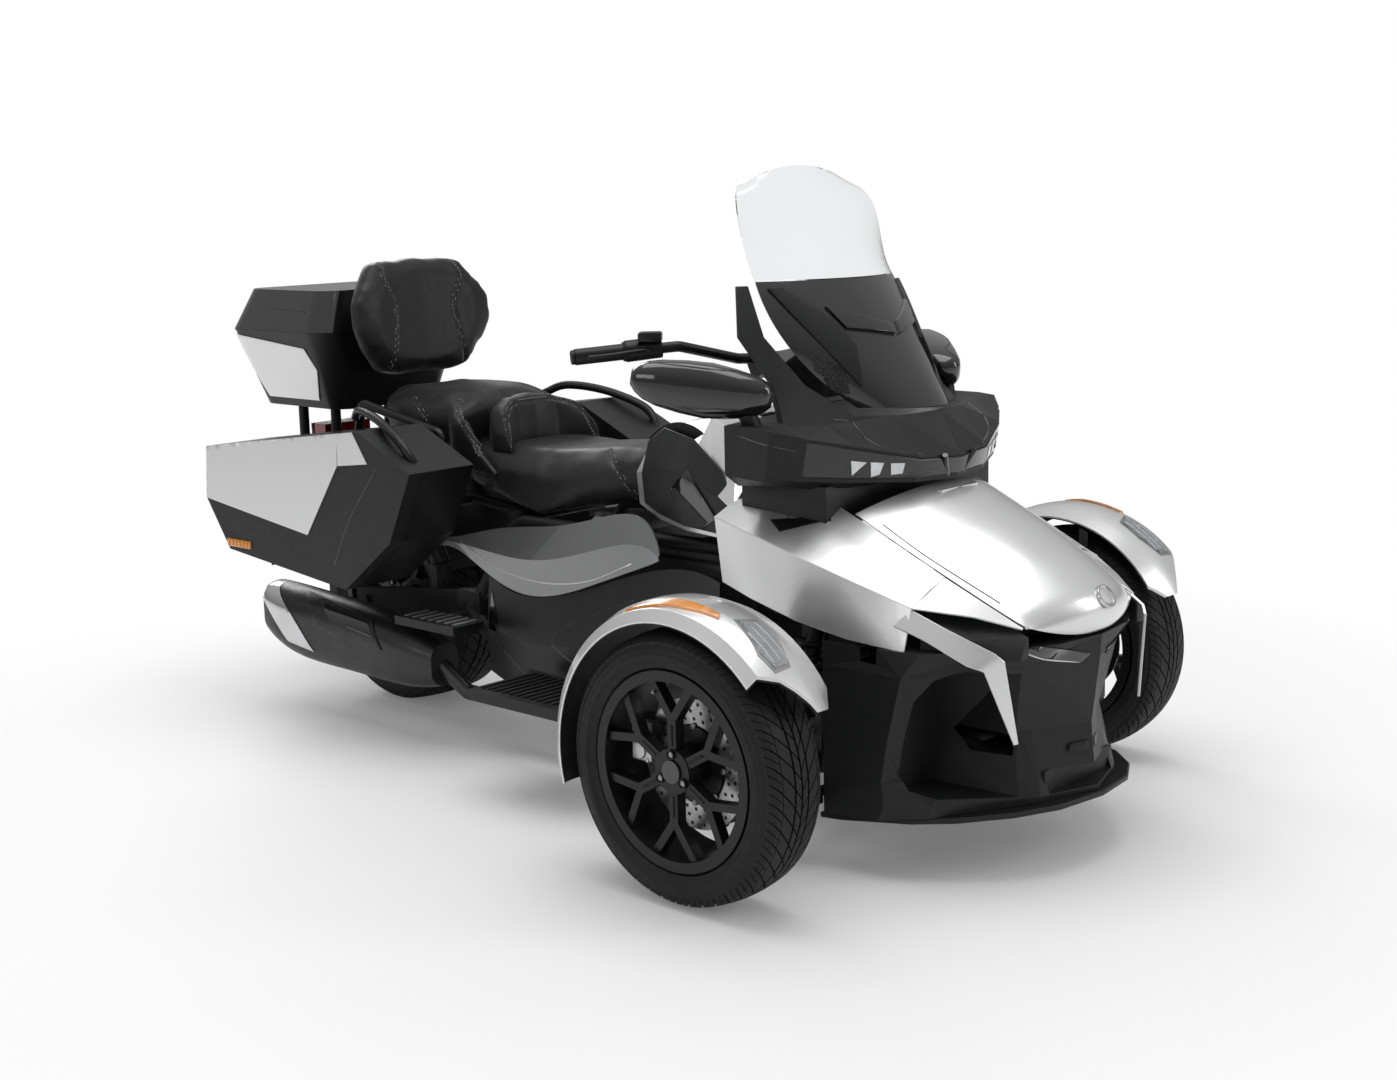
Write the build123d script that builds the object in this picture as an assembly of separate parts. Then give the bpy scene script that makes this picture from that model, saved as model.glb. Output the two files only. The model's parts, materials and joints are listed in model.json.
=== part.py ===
from build123d import *
import os
from functools import cache
from math import atan2, cos, degrees, hypot, pi, radians, sin, sqrt

# ---------------------------------------------------------------------------
# Frame: +X forward, +Y to the vehicle's left, +Z up, ground at z = 0, and the
# origin under the middle of the overall box. All sizes are in millimetres.
# ---------------------------------------------------------------------------
overall_length = 2833
overall_height = 1450
wheelbase = 1714
front_track = 1384
front_overhang = 530
fit_gap = 0.3
panel_gap = 5
running_gap = 0.05

nose_x = overall_length / 2
tail_x = -overall_length / 2
front_axle_x = nose_x - front_overhang
rear_axle_x = front_axle_x - wheelbase
half_track = front_track / 2

# Wheels
front_tyre_radius = 281
front_tyre_width = 165
rear_tyre_radius = 303
rear_tyre_width = 225
rim_radius = 190
rim_wall = 8
axle_radius = 14
hub_radius = 46
disc_radius = 135
disc_inner_radius = 78
disc_thickness = 5
spoke_count = 6

# Front suspension and steering
kingpin_half_track = 625
ball_joint_offset = 132
ball_pin_radius = 9
arm_tube_radius = 11
arm_pivot_y = 250
arm_spread = 80
arm_bush_half = 20
steering_arm_length = 110
steering_rake = 25
column_x = 505
column_z = 1000
stem_radius = 16

# Number-plate bracket
plate_wall = 4
plate_width = 178
plate_z = 376
plate_hole_pitch_y = 146
plate_hole_pitch_z = 70
plate_hole_radius = 3.3

# Body
body_half_width = 385
skin = 4
lid_hinge_x = 1030
lid_hinge_z = 745
lid_hinge_rise = 19
case_wall = 4
case_outer_y = 480
case_inner_y = 277

os.makedirs("parts", exist_ok=True)


def save(name, shapes):
    """Write one node; shapes is a list of separate solids."""
    solids = [solid for shape in shapes for solid in shape.solids()]
    export_step(Compound(label=name, children=solids), f"parts/{name}.step")


def both(shape):
    """A right-hand or left-hand shape and its twin across the centre plane."""
    return [shape, mirror(shape, about=Plane.XZ)]


def block(x, y, z):
    """A box from three (low, high) pairs."""
    size = [pair[1] - pair[0] for pair in (x, y, z)]
    centre = [(pair[0] + pair[1]) / 2 for pair in (x, y, z)]
    return Pos(*centre) * Box(*size)


def rod(start, end, radius):
    """A round bar between two points."""
    axis = Vector(*end) - Vector(*start)
    plane = Plane(origin=start, z_dir=axis)
    return plane * Cylinder(radius, axis.length, align=(Align.CENTER, Align.CENTER, Align.MIN))


def tube(points, bend, radius, bore=0):
    """A bent round tube through the points."""
    path = FilletPolyline(*points, radius=bend)
    start = Plane(origin=path @ 0, z_dir=path % 0)
    ring = Circle(radius) - Circle(bore) if bore else Circle(radius)
    return sweep(start * ring, path=path)


def station(x, points):
    """A closed polygon in the plane at x; points are (y, z)."""
    return make_face(Polyline(*[(x, y, z) for y, z in points], close=True))


def oval(x, y, z, width, height, corner):
    """A rounded rectangle in the plane at x."""
    plane = Plane(origin=(x, y, z), x_dir=(0, 1, 0), z_dir=(1, 0, 0))
    return plane * RectangleRounded(width, height, corner)


def strip(stations, wall):
    """A panel lofted through stations along x; each is (x, [(y, z), ...]) from top to bottom.

    The wall is laid on the side towards the centre plane.
    """
    faces = []
    for x, points in stations:
        inner = [(y - wall, z) for y, z in points]
        faces.append(station(x, points + inner[::-1]))
    return loft(faces)


def profile(points, y_low, y_high):
    """A side-view outline of (x, z) points, extruded across y."""
    face = make_face(Polyline(*[(x, y_low, z) for x, z in points], close=True))
    return extrude(face, amount=y_high - y_low, dir=(0, 1, 0))


def plan(points, z_low, z_high):
    """A top-view outline of (x, y) points, extruded up."""
    face = make_face(Polyline(*[(x, y, z_low) for x, y in points], close=True))
    return extrude(face, amount=z_high - z_low, dir=(0, 0, 1))


# ---------------------------------------------------------------------------
# Wheels
# ---------------------------------------------------------------------------
def ring_about_y(points, centre):
    """Revolve (radius, y) points about the wheel axis through the centre."""
    x, y, z = centre
    face = make_face(Polyline(*[(x + r, y + dy, z) for r, dy in points], close=True))
    return revolve(face, axis=Axis((x, y, z), (0, 1, 0)))


def tyre(centre, radius, width):
    """A tyre with a flat tread, round shoulders and full sidewalls."""
    x, y, z = centre
    half = width / 2
    bead = rim_radius + fit_gap
    bead_half = half - 23
    belly = rim_radius + (radius - rim_radius) * 0.45
    right = [(bead, -bead_half), (rim_radius + 15, -bead_half), (belly, -half),
             (radius - 24, -half + 4), (radius - 6, -half + 24)]
    left = [(r, -dy) for r, dy in reversed(right)]
    points = [(x + r, y + dy, z) for r, dy in right]
    mirrored = [(x + r, y + dy, z) for r, dy in left]
    crown = (x + radius, y, z)
    outline = [
        Line(points[0], points[1]),
        Spline(points[1], points[2], points[3], points[4], crown,
               mirrored[0], mirrored[1], mirrored[2], mirrored[3]),
        Line(mirrored[3], mirrored[4]),
        Line(mirrored[4], points[0]),
    ]
    return revolve(make_face(outline), axis=Axis((x, y, z), (0, 1, 0)))


def rim(centre, width, outward):
    """A cast rim: barrel, Y spokes, hub and brake disc. outward is +1 or -1 along y."""
    x, y, z = centre
    half = width / 2 - 12
    seat = half - 8
    inner = rim_radius - rim_wall
    barrel = ring_about_y([(inner, -half), (rim_radius + 14, -half), (rim_radius + 14, -seat),
                           (rim_radius, -seat), (rim_radius, seat), (rim_radius + 14, seat),
                           (rim_radius + 14, half), (inner, half)], centre)
    face_y = outward * (half - 20)
    thickness = 24

    def arm(start, end, breadth):
        """One spoke bar in the wheel's face, between two (radius, degrees) places."""
        ends = [(r * cos(radians(a)), r * sin(radians(a))) for r, a in (start, end)]
        mid = ((ends[0][0] + ends[1][0]) / 2, (ends[0][1] + ends[1][1]) / 2)
        length = hypot(ends[1][0] - ends[0][0], ends[1][1] - ends[0][1])
        angle = degrees(atan2(ends[1][1] - ends[0][1], ends[1][0] - ends[0][0]))
        bar = Rot(0, -angle, 0) * Box(length, thickness, breadth)
        return Pos(x + mid[0], y + face_y, z + mid[1]) * bar

    spokes = []
    for index in range(spoke_count):
        angle = 360 / spoke_count * index + 90
        spokes.append(arm((30, angle), (112, angle), 22))
        spokes.append(arm((104, angle), (inner + 4, angle + 17), 17))
        spokes.append(arm((104, angle), (inner + 4, angle - 17), 17))
    hub_low = min(face_y + 14 * outward, -10 * outward)
    hub_high = max(face_y + 14 * outward, -10 * outward)
    hub = Pos(x, y + (hub_low + hub_high) / 2, z) * Rot(90, 0, 0) * Cylinder(hub_radius, hub_high - hub_low)
    bore = Pos(x, y, z) * Rot(90, 0, 0) * Cylinder(axle_radius + running_gap, width)
    cap_y = y + face_y + 6 * outward
    cap = Pos(x, cap_y, z) * Rot(90, 0, 0) * Cylinder(24, 12)
    disc = Pos(x, y - 6 * outward, z) * Rot(90, 0, 0) * Cylinder(disc_radius, disc_thickness)
    bell = Pos(x, y - 6 * outward, z) * Rot(90, 0, 0) * Cylinder(disc_inner_radius, disc_thickness + 8)
    wheel = barrel + spokes + [hub] + [disc, bell]
    wheel = wheel - bore + cap
    return wheel


front_left = (front_axle_x, half_track, front_tyre_radius)
front_right = (front_axle_x, -half_track, front_tyre_radius)
rear = (rear_axle_x, 0, rear_tyre_radius)


def wheels():
    save("tyre_left", [tyre(front_left, front_tyre_radius, front_tyre_width)])
    save("tyre_right", [tyre(front_right, front_tyre_radius, front_tyre_width)])
    save("tyre_rear", [tyre(rear, rear_tyre_radius, rear_tyre_width)])
    save("rim_left", [rim(front_left, front_tyre_width, 1)])
    save("rim_right", [rim(front_right, front_tyre_width, -1)])
    save("rim_rear", [rear_rim()])


def rear_rim():
    """The rear rim is wider and carries the belt pulley on its left."""
    body = rim(rear, rear_tyre_width, -1)
    x, y, z = rear
    half = rear_tyre_width / 2
    pulley = Pos(x, belt_y, z) * Rot(90, 0, 0) * Cylinder(rear_pulley_radius, belt_width)
    shaft = rod((x, 0, z), (x, belt_y, z), hub_radius)
    bore = Pos(x, 0, z) * Rot(90, 0, 0) * Cylinder(axle_radius + running_gap, 3 * half)
    return body + pulley + shaft - bore


# ---------------------------------------------------------------------------
# Front suspension, knuckles, steering
# ---------------------------------------------------------------------------
lower_ball_z = front_tyre_radius - ball_joint_offset
upper_ball_z = front_tyre_radius + ball_joint_offset
arm_eye_height = 22
rack_z = front_tyre_radius - 62
rack_x = front_axle_x - steering_arm_length
damper_radius = 30


@cache
def suspension():
    """The two wishbones and the damper of the left side."""
    y_out = kingpin_half_track
    pieces = []
    for z in (lower_ball_z, upper_ball_z):
        eye = Pos(front_axle_x, y_out, z) * Cylinder(22, arm_eye_height)
        arm = eye
        for side in (-1, 1):
            pivot = (front_axle_x + side * arm_spread, arm_pivot_y, z + 12)
            arm += rod((front_axle_x + side * 10, y_out - 16, z), pivot, arm_tube_radius)
            arm += Pos(*pivot) * Rot(0, 90, 0) * Cylinder(arm_bush_half, 44)
        if z == lower_ball_z:
            arm += block((front_axle_x - 85, front_axle_x + 85), (395, 430), (z - 6, z + 16))
            arm += block((front_axle_x - 14, front_axle_x + 14), (405, 435), (z, z + 44))
        arm -= Pos(front_axle_x, y_out, z) * Cylinder(ball_pin_radius + running_gap, 60)
        pieces.append(arm)
    return pieces


@cache
def damper():
    """The left coil-over damper, standing on the lug of the lower arm."""
    foot = Vector(front_axle_x, 420, lower_ball_z + 38)
    top = Vector(front_axle_x, 300, 500)
    axis = (top - foot).normalized()
    body = rod(foot, foot + axis * 200, 14) + rod(foot + axis * 40, foot + axis * 230, damper_radius)
    body += rod(foot + axis * 220, top, 18)
    return body - suspension()[0]




def knuckle():
    """The left knuckle: kingpin, stub axle, steering arm, caliper and fender stay."""
    x, z = front_axle_x, front_tyre_radius
    y = kingpin_half_track
    pin = Pos(x, y, z) * Cylinder(ball_pin_radius, 2 * ball_joint_offset + arm_eye_height)
    upright_half = ball_joint_offset - arm_eye_height / 2 - 3
    upright = Pos(x, y, z) * Box(44, 30, 2 * upright_half)
    stub = rod((x, y - 10, z), (x, half_track + 34, z), axle_radius)
    boss = rod((x, y - 18, z), (x, y + 30, z), 32)
    arm = block((rack_x - 14, x), (y - 12, y + 8), (rack_z + 11 + fit_gap, rack_z + 30))
    body = upright + pin + stub + boss + arm
    disc_y = half_track - 6
    caliper = block((x - 150, x - 88), (disc_y - 28, disc_y + 26), (z - 12, z + 78))
    slot = Pos(x, disc_y, z) * Rot(90, 0, 0) * Cylinder(disc_radius + 5, disc_thickness + 6)
    hanger = block((x - 130, x - 10), (y - 12, y + 14), (z - 4, z + 40))
    hanger += block((x - 130, x - 95), (y, disc_y - 8), (z - 4, z + 40))
    body += (caliper - slot) + (hanger - slot)
    return body


def fender_stay():
    """The bracket that carries the left fender from the upright, inside the tyre."""
    x, z = front_axle_x, front_tyre_radius
    y = half_track - front_tyre_width / 2 - 10
    top = z + front_tyre_radius + fender_gap
    legs = block((x - 95, x + 95), (y - 7, kingpin_half_track), (z + 20, z + 44))
    for side in (-1, 1):
        legs += block(sorted((x + side * 75, x + side * 95)), (y - 7, y), (z + 20, top))
    under_fender = Pos(x, y, z) * Rot(90, 0, 0) * Cylinder(front_tyre_radius + fender_gap - fit_gap, 200)
    return legs & under_fender


fender_gap = 24
fender_wall = 4


def fender_arc(radius_in, radius_out, start, end, y_in, y_out):
    """A band about the left front wheel between two angles from straight ahead, over the top."""
    x, y, z = front_left
    face = make_face(Polyline((radius_in, y_in), (radius_out, y_in), (radius_out, y_out), (radius_in, y_out),
                              close=True))
    plane = Plane(origin=(x, y, z), x_dir=(cos(radians(start)), 0, sin(radians(start))),
                  z_dir=Vector(cos(radians(start)), 0, sin(radians(start))).cross(Vector(0, 1, 0)))
    return revolve(plane * face, axis=Axis((x, y, z), (0, -1, 0)), revolution_arc=end - start)


def front_fender():
    """The left front fender: a hugging shell with a beak in front."""
    low = front_tyre_radius + fender_gap
    half = front_tyre_width / 2 + 2
    top = fender_arc(low, low + fender_wall, 28, 196, -half - 15, half)
    lip_out = fender_arc(low - 22, low, 28, 196, half - 3, half)
    return top + lip_out


def column_at(distance):
    """A point on the raked steering axis, measured up from the bar clamp."""
    rake = radians(steering_rake)
    return Vector(column_x, 0, column_z) + Vector(-sin(rake), 0, cos(rake)) * distance


def steering_parts():
    """Handlebar with its column, and the rack with both tie rods."""
    top = column_at(0)
    stem = rod(column_at(-175), column_at(18), stem_radius)
    bar = tube([(column_x, -2, column_z + 16), (column_x + 4, -120, 1024), (470, -270, 1062), (335, -460, 1047)],
               30, 12)
    clamp = Pos(*top) * Rot(0, -steering_rake, 0) * Box(60, 90, 40)
    grip_start = Vector(400, -368, 1055)
    grip_end = Vector(335, -460, 1047)
    grip = rod(grip_start, grip_end, 18)
    pod = rod(Vector(446, -303, 1062), grip_start, 24)
    bars = [both(bar + grip + pod)]
    bar_full = stem + clamp
    for piece in bars[0]:
        bar_full += piece
    return bar_full


def tie_rods():
    y = kingpin_half_track
    rods = rod((rack_x, -y, rack_z), (rack_x, y, rack_z), 9)
    for side in (-1, 1):
        rods += Pos(rack_x, side * y, rack_z) * Cylinder(16, 22)
    return rods


# ---------------------------------------------------------------------------
# Frame, engine, rear drive
# ---------------------------------------------------------------------------
rail_y = 225
rail_radius = 22
swing_pivot = (-330, 0, 345)
engine_low = 205
gearbox_half = 108
front_pulley_x = -220
rear_pulley_radius = 96
front_pulley_radius = 52
belt_width = 26
belt_y = rear_tyre_width / 2 + 24


def frame():
    pieces = []
    for side in (-1, 1):
        lower = tube([(-330, side * rail_y, 345), (-80, side * rail_y, 185), (640, side * rail_y, 185),
                      (760, side * 200, 185), (1129.7, side * 150, 185)], 60, rail_radius)
        upper = tube([(-330, side * rail_y, 345), (-180, side * 190, 590), (560, side * 190, 600),
                      (700, side * 232, 500), (1060, side * 205, 478)], 60, 18)
        seat_rail = tube([(-190, side * 130, 600), (-600, side * 150, 645), (-1150, side * 150, 690)], 60, 14)
        pieces += [lower, upper, seat_rail]
        pieces.append(block((-372, -288), (side * rail_y - 12, side * rail_y + 12), (290, 400)))
        for x in (front_axle_x - arm_spread, front_axle_x + arm_spread):
            plate_y = arm_pivot_y - arm_bush_half - fit_gap
            pieces.append(block((x - 26, x + 26), sorted((side * 205, side * plate_y)), (140, 470)))
    for x, y, z, radius in ((-190, 200, 600, 16), (-700, 150, 653, 14), (-1140, 150, 690, 14),
                            (640, rail_y, 185, 20), (1090, 154, 185, 18), (560, 190, 600, 18),
                            (1000, 209, 482, 16)):
        pieces.append(rod((x, -y, z), (x, y, z), radius))
    pieces.append(rod(column_at(-160), column_at(-70), 28))
    pieces.append(rod((576, 0, 600), (594, 0, 885), 18))
    pieces.append(block((560, 650), (-80, 80), (185, engine_low - fit_gap)))
    pieces.append(block((30, 70), (-rail_y, rail_y), (175, engine_low - fit_gap)))
    pieces.append(rod((450, -190, 600), (450, 190, 600), 16))
    body = pieces[0]
    for piece in pieces[1:]:
        body += piece
    body -= rod(column_at(-180), column_at(20), stem_radius + running_gap)
    body -= rod((rack_x, -300, rack_z), (rack_x, 300, rack_z), 16)
    body -= block((1130 - fit_gap, 1300), (-300, 300), (100, 300))
    for stay in stays():
        body += stay
    return body


def reach(start, end, radius, target):
    """A round stay from start towards end that stops on the face of the target."""
    pieces = (rod(start, end, radius) - target).solids()
    return min(pieces, key=lambda piece: abs(piece.center() - Vector(*start)))


def stays():
    """The brackets that carry panels, seats, cases and screens on the frame."""
    ends = [
        ((front_axle_x, 218, 486), (front_axle_x, 320, 512), 16, damper()),
        ((300, 225, 190), (300, 330, 232), 10, lower_side_panel()),
        ((560, 225, 190), (560, 345, 232), 10, lower_side_panel()),
        ((200, 190, 600), (200, 325, 560), 10, side_panel()),
        ((450, 110, 600), (450, 110, 720), 10, console_cover()),
        ((740, 232, 495), (740, 200, 800), 14, upper_fairing()),
        ((800, 232, 480), (800, 312, 735), 10, shoulder()),
        ((-190, 100, 600), (-190, 100, 690), 12, rider_seat()),
        ((-480, 146, 634), (-480, 146, 790), 12, passenger_seat()),
        ((-700, 150, 653), (-700, 150, 800), 12, passenger_seat()),
        ((-560, 150, 640), (-560, 290, 640), 14, side_case()),
        ((-950, 150, 672), (-950, 290, 672), 14, side_case()),
        ((-970, 150, 674), (-970, 150, 850), 14, top_case()),
        ((-1120, 150, 687), (-1120, 150, 850), 14, top_case()),
    ]
    found = []
    for start, end, radius, target in ends:
        found += both(reach(start, end, radius, target))
    return found


@cache
def engine_block():
    core = block((40, 610), (-185, 185), (engine_low, 560))
    gearbox = block((-270, 80), (-gearbox_half, gearbox_half), (290, 400))
    return fillet(core.edges(), 18) + gearbox


@cache
def swingarm():
    x, y, z = rear
    px, py, pz = swing_pivot
    inner = rear_tyre_width / 2 + 62
    body = rod((px, -rail_y + rail_radius + fit_gap, pz), (px, rail_y - rail_radius - fit_gap, pz), 28)
    for side in (-1, 1):
        arm = profile([(px - 20, pz - 34), (px + 20, pz - 34), (px + 20, pz + 34), (px - 60, pz + 44),
                       (x - 40, z + 30), (x - 40, z - 30)], side * inner - 14, side * inner + 14)
        body += arm
    axle = rod((x, -inner - 20, z), (x, inner + 20, z), axle_radius)
    return body + axle


def belt():
    """The toothed belt's run around both pulleys, and the front pulley."""
    x, y, z = rear
    px, py, pz = swing_pivot
    front = (front_pulley_x, pz)
    def outline(extra):
        hull = make_hull([
            *(Pos(front[0], front[1]) * Circle(front_pulley_radius + extra)).edges(),
            *(Pos(x, z) * Circle(rear_pulley_radius + extra)).edges(),
        ])
        return hull
    plane = Plane(origin=(0, belt_y + belt_width / 2, 0), x_dir=(1, 0, 0), z_dir=(0, -1, 0))
    loop = outline(5.4) - outline(0.4)
    run = extrude(plane * loop, amount=belt_width)
    pulley = Pos(front[0], belt_y, front[1]) * Rot(90, 0, 0) * Cylinder(front_pulley_radius, belt_width)
    pulley += rod((front[0], gearbox_half + fit_gap, pz), (front[0], belt_y, pz), 20)
    return [run, pulley]


def rear_fender():
    """A shell over the rear tyre and the tail plate carrier."""
    x, y, z = rear
    low = rear_tyre_radius + 18
    face = make_face(Polyline((low, -126), (low + 4, -126), (low + 4, 126), (low, 126), close=True))
    start, end = 20, 165
    plane = Plane(origin=(x, y, z), x_dir=(cos(radians(start)), 0, sin(radians(start))),
                  z_dir=Vector(cos(radians(start)), 0, sin(radians(start))).cross(Vector(0, 1, 0)))
    shell = revolve(plane * face, axis=Axis((x, y, z), (0, -1, 0)), revolution_arc=end - start)
    tail = profile([(-1050, 540), (-1085, 470), (tail_x + plate_wall, 330), (tail_x + plate_wall, 350), (-1120, 600)],
                   -105, 105)
    cutter = Pos(x, y, z) * Rot(90, 0, 0) * Cylinder(low + 2, 400)
    shell += tail - cutter
    for side in (-1, 1):
        shell += block((-548, -520), sorted((side * 118, side * 186)), (428, 436))
        shell += block((-548, -520), sorted((side * 166, side * 184)), (360, 436)) - swingarm()
    plate = block((tail_x, tail_x + plate_wall), (-plate_width / 2, plate_width / 2), (plate_z - 60, plate_z + 60))
    for y in (-plate_hole_pitch_y / 2, plate_hole_pitch_y / 2):
        for z in (plate_z - plate_hole_pitch_z / 2, plate_z + plate_hole_pitch_z / 2):
            plate -= rod((tail_x - 10, y, z), (tail_x + 40, y, z), plate_hole_radius)
    return shell + plate


def exhaust():
    """The oval muffler on the right, with its end cap and head pipe."""
    faces = [oval(-1030, -330, 285, 110, 150, 50), oval(-960, -330, 268, 130, 180, 60),
             oval(-700, -330, 250, 138, 190, 64), oval(-440, -330, 235, 130, 165, 60),
             oval(-330, -325, 225, 90, 110, 40)]
    body = loft(faces)
    pipe = tube([(-350, -325, 225), (-260, -310, 160), (-60, -240, 137), (120, -130, 137), (190, -100, 230)],
                35, 20)
    return (body + pipe) - engine_block()


# ---------------------------------------------------------------------------
# Nose, hood, shoulders
# ---------------------------------------------------------------------------
lid_centre = [(1000, 775), (1060, 753), (1130, 724), (1210, 688), (1290, 645), (1350, 608), (1392, 575),
              (1404, 540), (1386, 497)]
lid_side = [(940, 240), (1000, 238), (1070, 234), (1140, 228), (1205, 221), (1262, 214), (1300, 208), (1324, 203),
            (1340, 198)]


def lid_side_z(x):
    """Height of the hood's side edge at x."""
    return 729 - 0.491 * (x - 938)


def boot_lid():
    rows = []
    for (cx, cz), (sx, sy) in zip(lid_centre, lid_side):
        sz = lid_side_z(sx)
        row = []
        for v in (-1, -0.8, -0.6, -0.4, -0.2, 0, 0.2, 0.4, 0.6, 0.8, 1):
            row.append((cx + (sx - cx) * v * v, sy * v, cz + (sz - cz) * abs(v) ** 2.2))
        rows.append(row)
    surface = Face.make_surface_from_array_of_points([[Vector(*p) for p in row] for row in rows])
    shell = Solid.thicken(surface, -skin)
    if shell.bounding_box().max.Z > 776:
        shell = Solid.thicken(surface, skin)
    for side in (-1, 1):
        low, high = sorted((side * 6, side * 66))
        shell += rod((lid_hinge_x, low, lid_hinge_z), (lid_hinge_x, high, lid_hinge_z), 7)
        shell += block((lid_hinge_x - 6, lid_hinge_x + 6), (low, high), (lid_hinge_z, lid_hinge_z + lid_hinge_rise))
    return shell - rod((lid_hinge_x, -80, lid_hinge_z), (lid_hinge_x, 80, lid_hinge_z), 4 + running_gap)


def lid_edge_y(x):
    """Half width of the hood at x, along its side edge."""
    pairs = lid_side
    if x <= pairs[0][0]:
        return pairs[0][1]
    for (x0, y0), (x1, y1) in zip(pairs, pairs[1:]):
        if x <= x1:
            return y0 + (y1 - y0) * (x - x0) / (x1 - x0)
    return pairs[-1][1]


shoulder_lines = [
    # x, crease (y, z), lower edge (y, z)
    (640, (352, 708), (330, 560)),
    (760, (368, 684), (372, 545)),
    (900, (382, 654), (392, 520)),
    (1030, (376, 620), (390, 500)),
    (1160, (350, 577), (372, 488)),
    (1250, (322, 528), (345, 480)),
    (1312, (298, 488), (300, 478)),
]


@cache
def shoulder():
    stations = []
    for x, crease, low in shoulder_lines:
        inner_y = lid_edge_y(x) + panel_gap
        inner_z = lid_side_z(x) if x > 900 else 742
        stations.append((x, inner_y, inner_z, crease, low))
    faces = []
    for x, inner_y, inner_z, crease, low in stations:
        outer = [(inner_y, inner_z), ((inner_y + crease[0]) / 2, (inner_z + crease[1]) / 2 + 4), crease, low]
        inner = [(low[0] - skin, low[1]), (crease[0] - skin - 1, crease[1] - skin - 1),
                 ((inner_y + crease[0]) / 2, (inner_z + crease[1]) / 2 - 1), (inner_y, inner_z - skin - 1)]
        faces.append(station(x, outer + inner))
    return loft(faces)


@cache
def blade():
    """The bright trim that drops from the shoulder beside the nose."""
    outline = [(1180, 568), (1318, 476), (1338, 290), (1330, 288), (1296, 462), (1168, 548)]
    return profile(outline, 300, 306)


def nose_fascia():
    """The dark nose: brow, chin, the two intakes and their side walls."""
    levels = []
    for z, front, corner, side, half, rear_x in (
            (132, 1330, 1290, 1120, 372, 965), (200, 1368, 1300, 1140, 384, 965),
            (300, 1366, 1290, 1150, 388, 965), (400, 1376, 1310, 1160, 388, 965),
            (474, 1384, 1320, 1180, 384, 965)):
        points = [(rear_x, -half), (side, -half), (corner, -half + 100), (front - 12, -120), (front, 0),
                  (front - 12, 120), (corner, half - 100), (side, half), (rear_x, half)]
        levels.append(make_face(Polyline(*[(x, y, z) for x, y in points], close=True)))
    body = loft(levels, ruled=True)
    body -= block((900, 1130), (-372, 372), (140, 600))
    body -= block((1100, 1286 + fit_gap), (-186 - fit_gap, 186 + fit_gap), (250, 600))
    body -= block((1300, 1500), (-124, 124), (150, 215))
    for side in (-1, 1):
        pocket = plan([(1110, side * 250), (1450, side * 200), (1450, side * 420), (1180, side * 374),
                       (1110, side * 360)], 170, 440)
        body -= pocket
    for piece in both(shoulder()) + both(blade()):
        body -= piece
    return body


def splitter_lip():
    points = [(1120, -318), (1290, -322), (1335, -300), (1395, -160), (nose_x, 0), (1395, 160), (1335, 300),
              (1290, 322), (1120, 318)]
    return plan(points, 118, 132 - fit_gap)


def lower_grille():
    return block((1330, 1336), (-124 + fit_gap, 124 - fit_gap), (150, 215))


def boot_tub():
    outer = block((1022, 1286), (-186, 186), (300, 560))
    inner = block((1026, 1282), (-182, 182), (304, 600))
    hinge = block((1022, 1026), (-5.5, 5.5), (540, 562))
    hinge += block((1022, lid_hinge_x + 6), (-5.5, 5.5), (560, lid_hinge_z + 5))
    hinge += rod((lid_hinge_x, -66, lid_hinge_z), (lid_hinge_x, 66, lid_hinge_z), 4)
    return outer - inner + hinge


# ---------------------------------------------------------------------------
# Side panels and console
# ---------------------------------------------------------------------------
@cache
def side_panel():
    """The left metallic side panel below the seat."""
    return strip([(-400, [(268, 545), (270, 530), (268, 515)]), (-200, [(272, 578), (290, 530), (284, 472)]),
                  (0, [(278, 608), (306, 530), (300, 440)]), (150, [(280, 636), (308, 560), (302, 475)]),
                  (300, [(272, 668), (300, 600), (300, 530)]), (420, [(300, 590), (304, 584), (302, 576)])], 4)


@cache
def lower_side_panel():
    """The left dark panel between the footboard and the metallic panel."""
    return strip([(-230, [(250, 462), (262, 330), (256, 210)]), (0, [(282, 434), (300, 320), (284, 170)]),
                  (300, [(284, 522), (312, 360), (300, 160)]), (620, [(316, 552), (330, 380), (310, 160)])], 4) \
        - rod((175, 225, 192), (175, 345, 246), 13)


def knee_panel():
    return strip(knee_stations, 4)


knee_stations = [(250, [(148, 830), (158, 740), (160, 672)]), (400, [(170, 872), (184, 760), (184, 650)]),
                 (520, [(180, 800), (196, 720), (196, 640)])]


@cache
def console_cover():
    faces = [oval(215, 0, 735, 290, 150, 50), oval(330, 0, 755, 350, 220, 60), oval(470, 0, 770, 400, 270, 70),
             oval(600, 0, 760, 430, 240, 70)]
    steering_well = block((500, 700), (-60, 60), (600, 1000))
    body = loft(faces) - steering_well
    outside = strip([(x, [(y + 60, z) for y, z in points]) for x, points in knee_stations], 64)
    for piece in both(outside):
        body -= piece
    return max(body.solids(), key=lambda piece: piece.volume)


# ---------------------------------------------------------------------------
# Seats
# ---------------------------------------------------------------------------
@cache
def rider_seat():
    return loft([oval(205, 0, 735, 180, 90, 38), oval(60, 0, 715, 300, 110, 44), (oval(-150, 0, 700, 390, 110, 48)),
                 oval(-390, 0, 700, 360, 120, 48)])


def rider_backrest():
    pad = Pos(-335, 0, 831.8) * Rot(0, -14, 0) * Box(70, 290, 150)
    return fillet(pad.edges(), 24)


@cache
def passenger_seat():
    return loft([oval(-405, 0, 800, 330, 120, 48), oval(-560, 0, 820, 360, 130, 54), oval(-740, 0, 830, 320, 130, 50)])


@cache
def passenger_backrest():
    pad = Pos(-795, 0, 1080) * Rot(0, -12, 0) * Box(80, 300, 320)
    return fillet(pad.edges(), 30)


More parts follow.
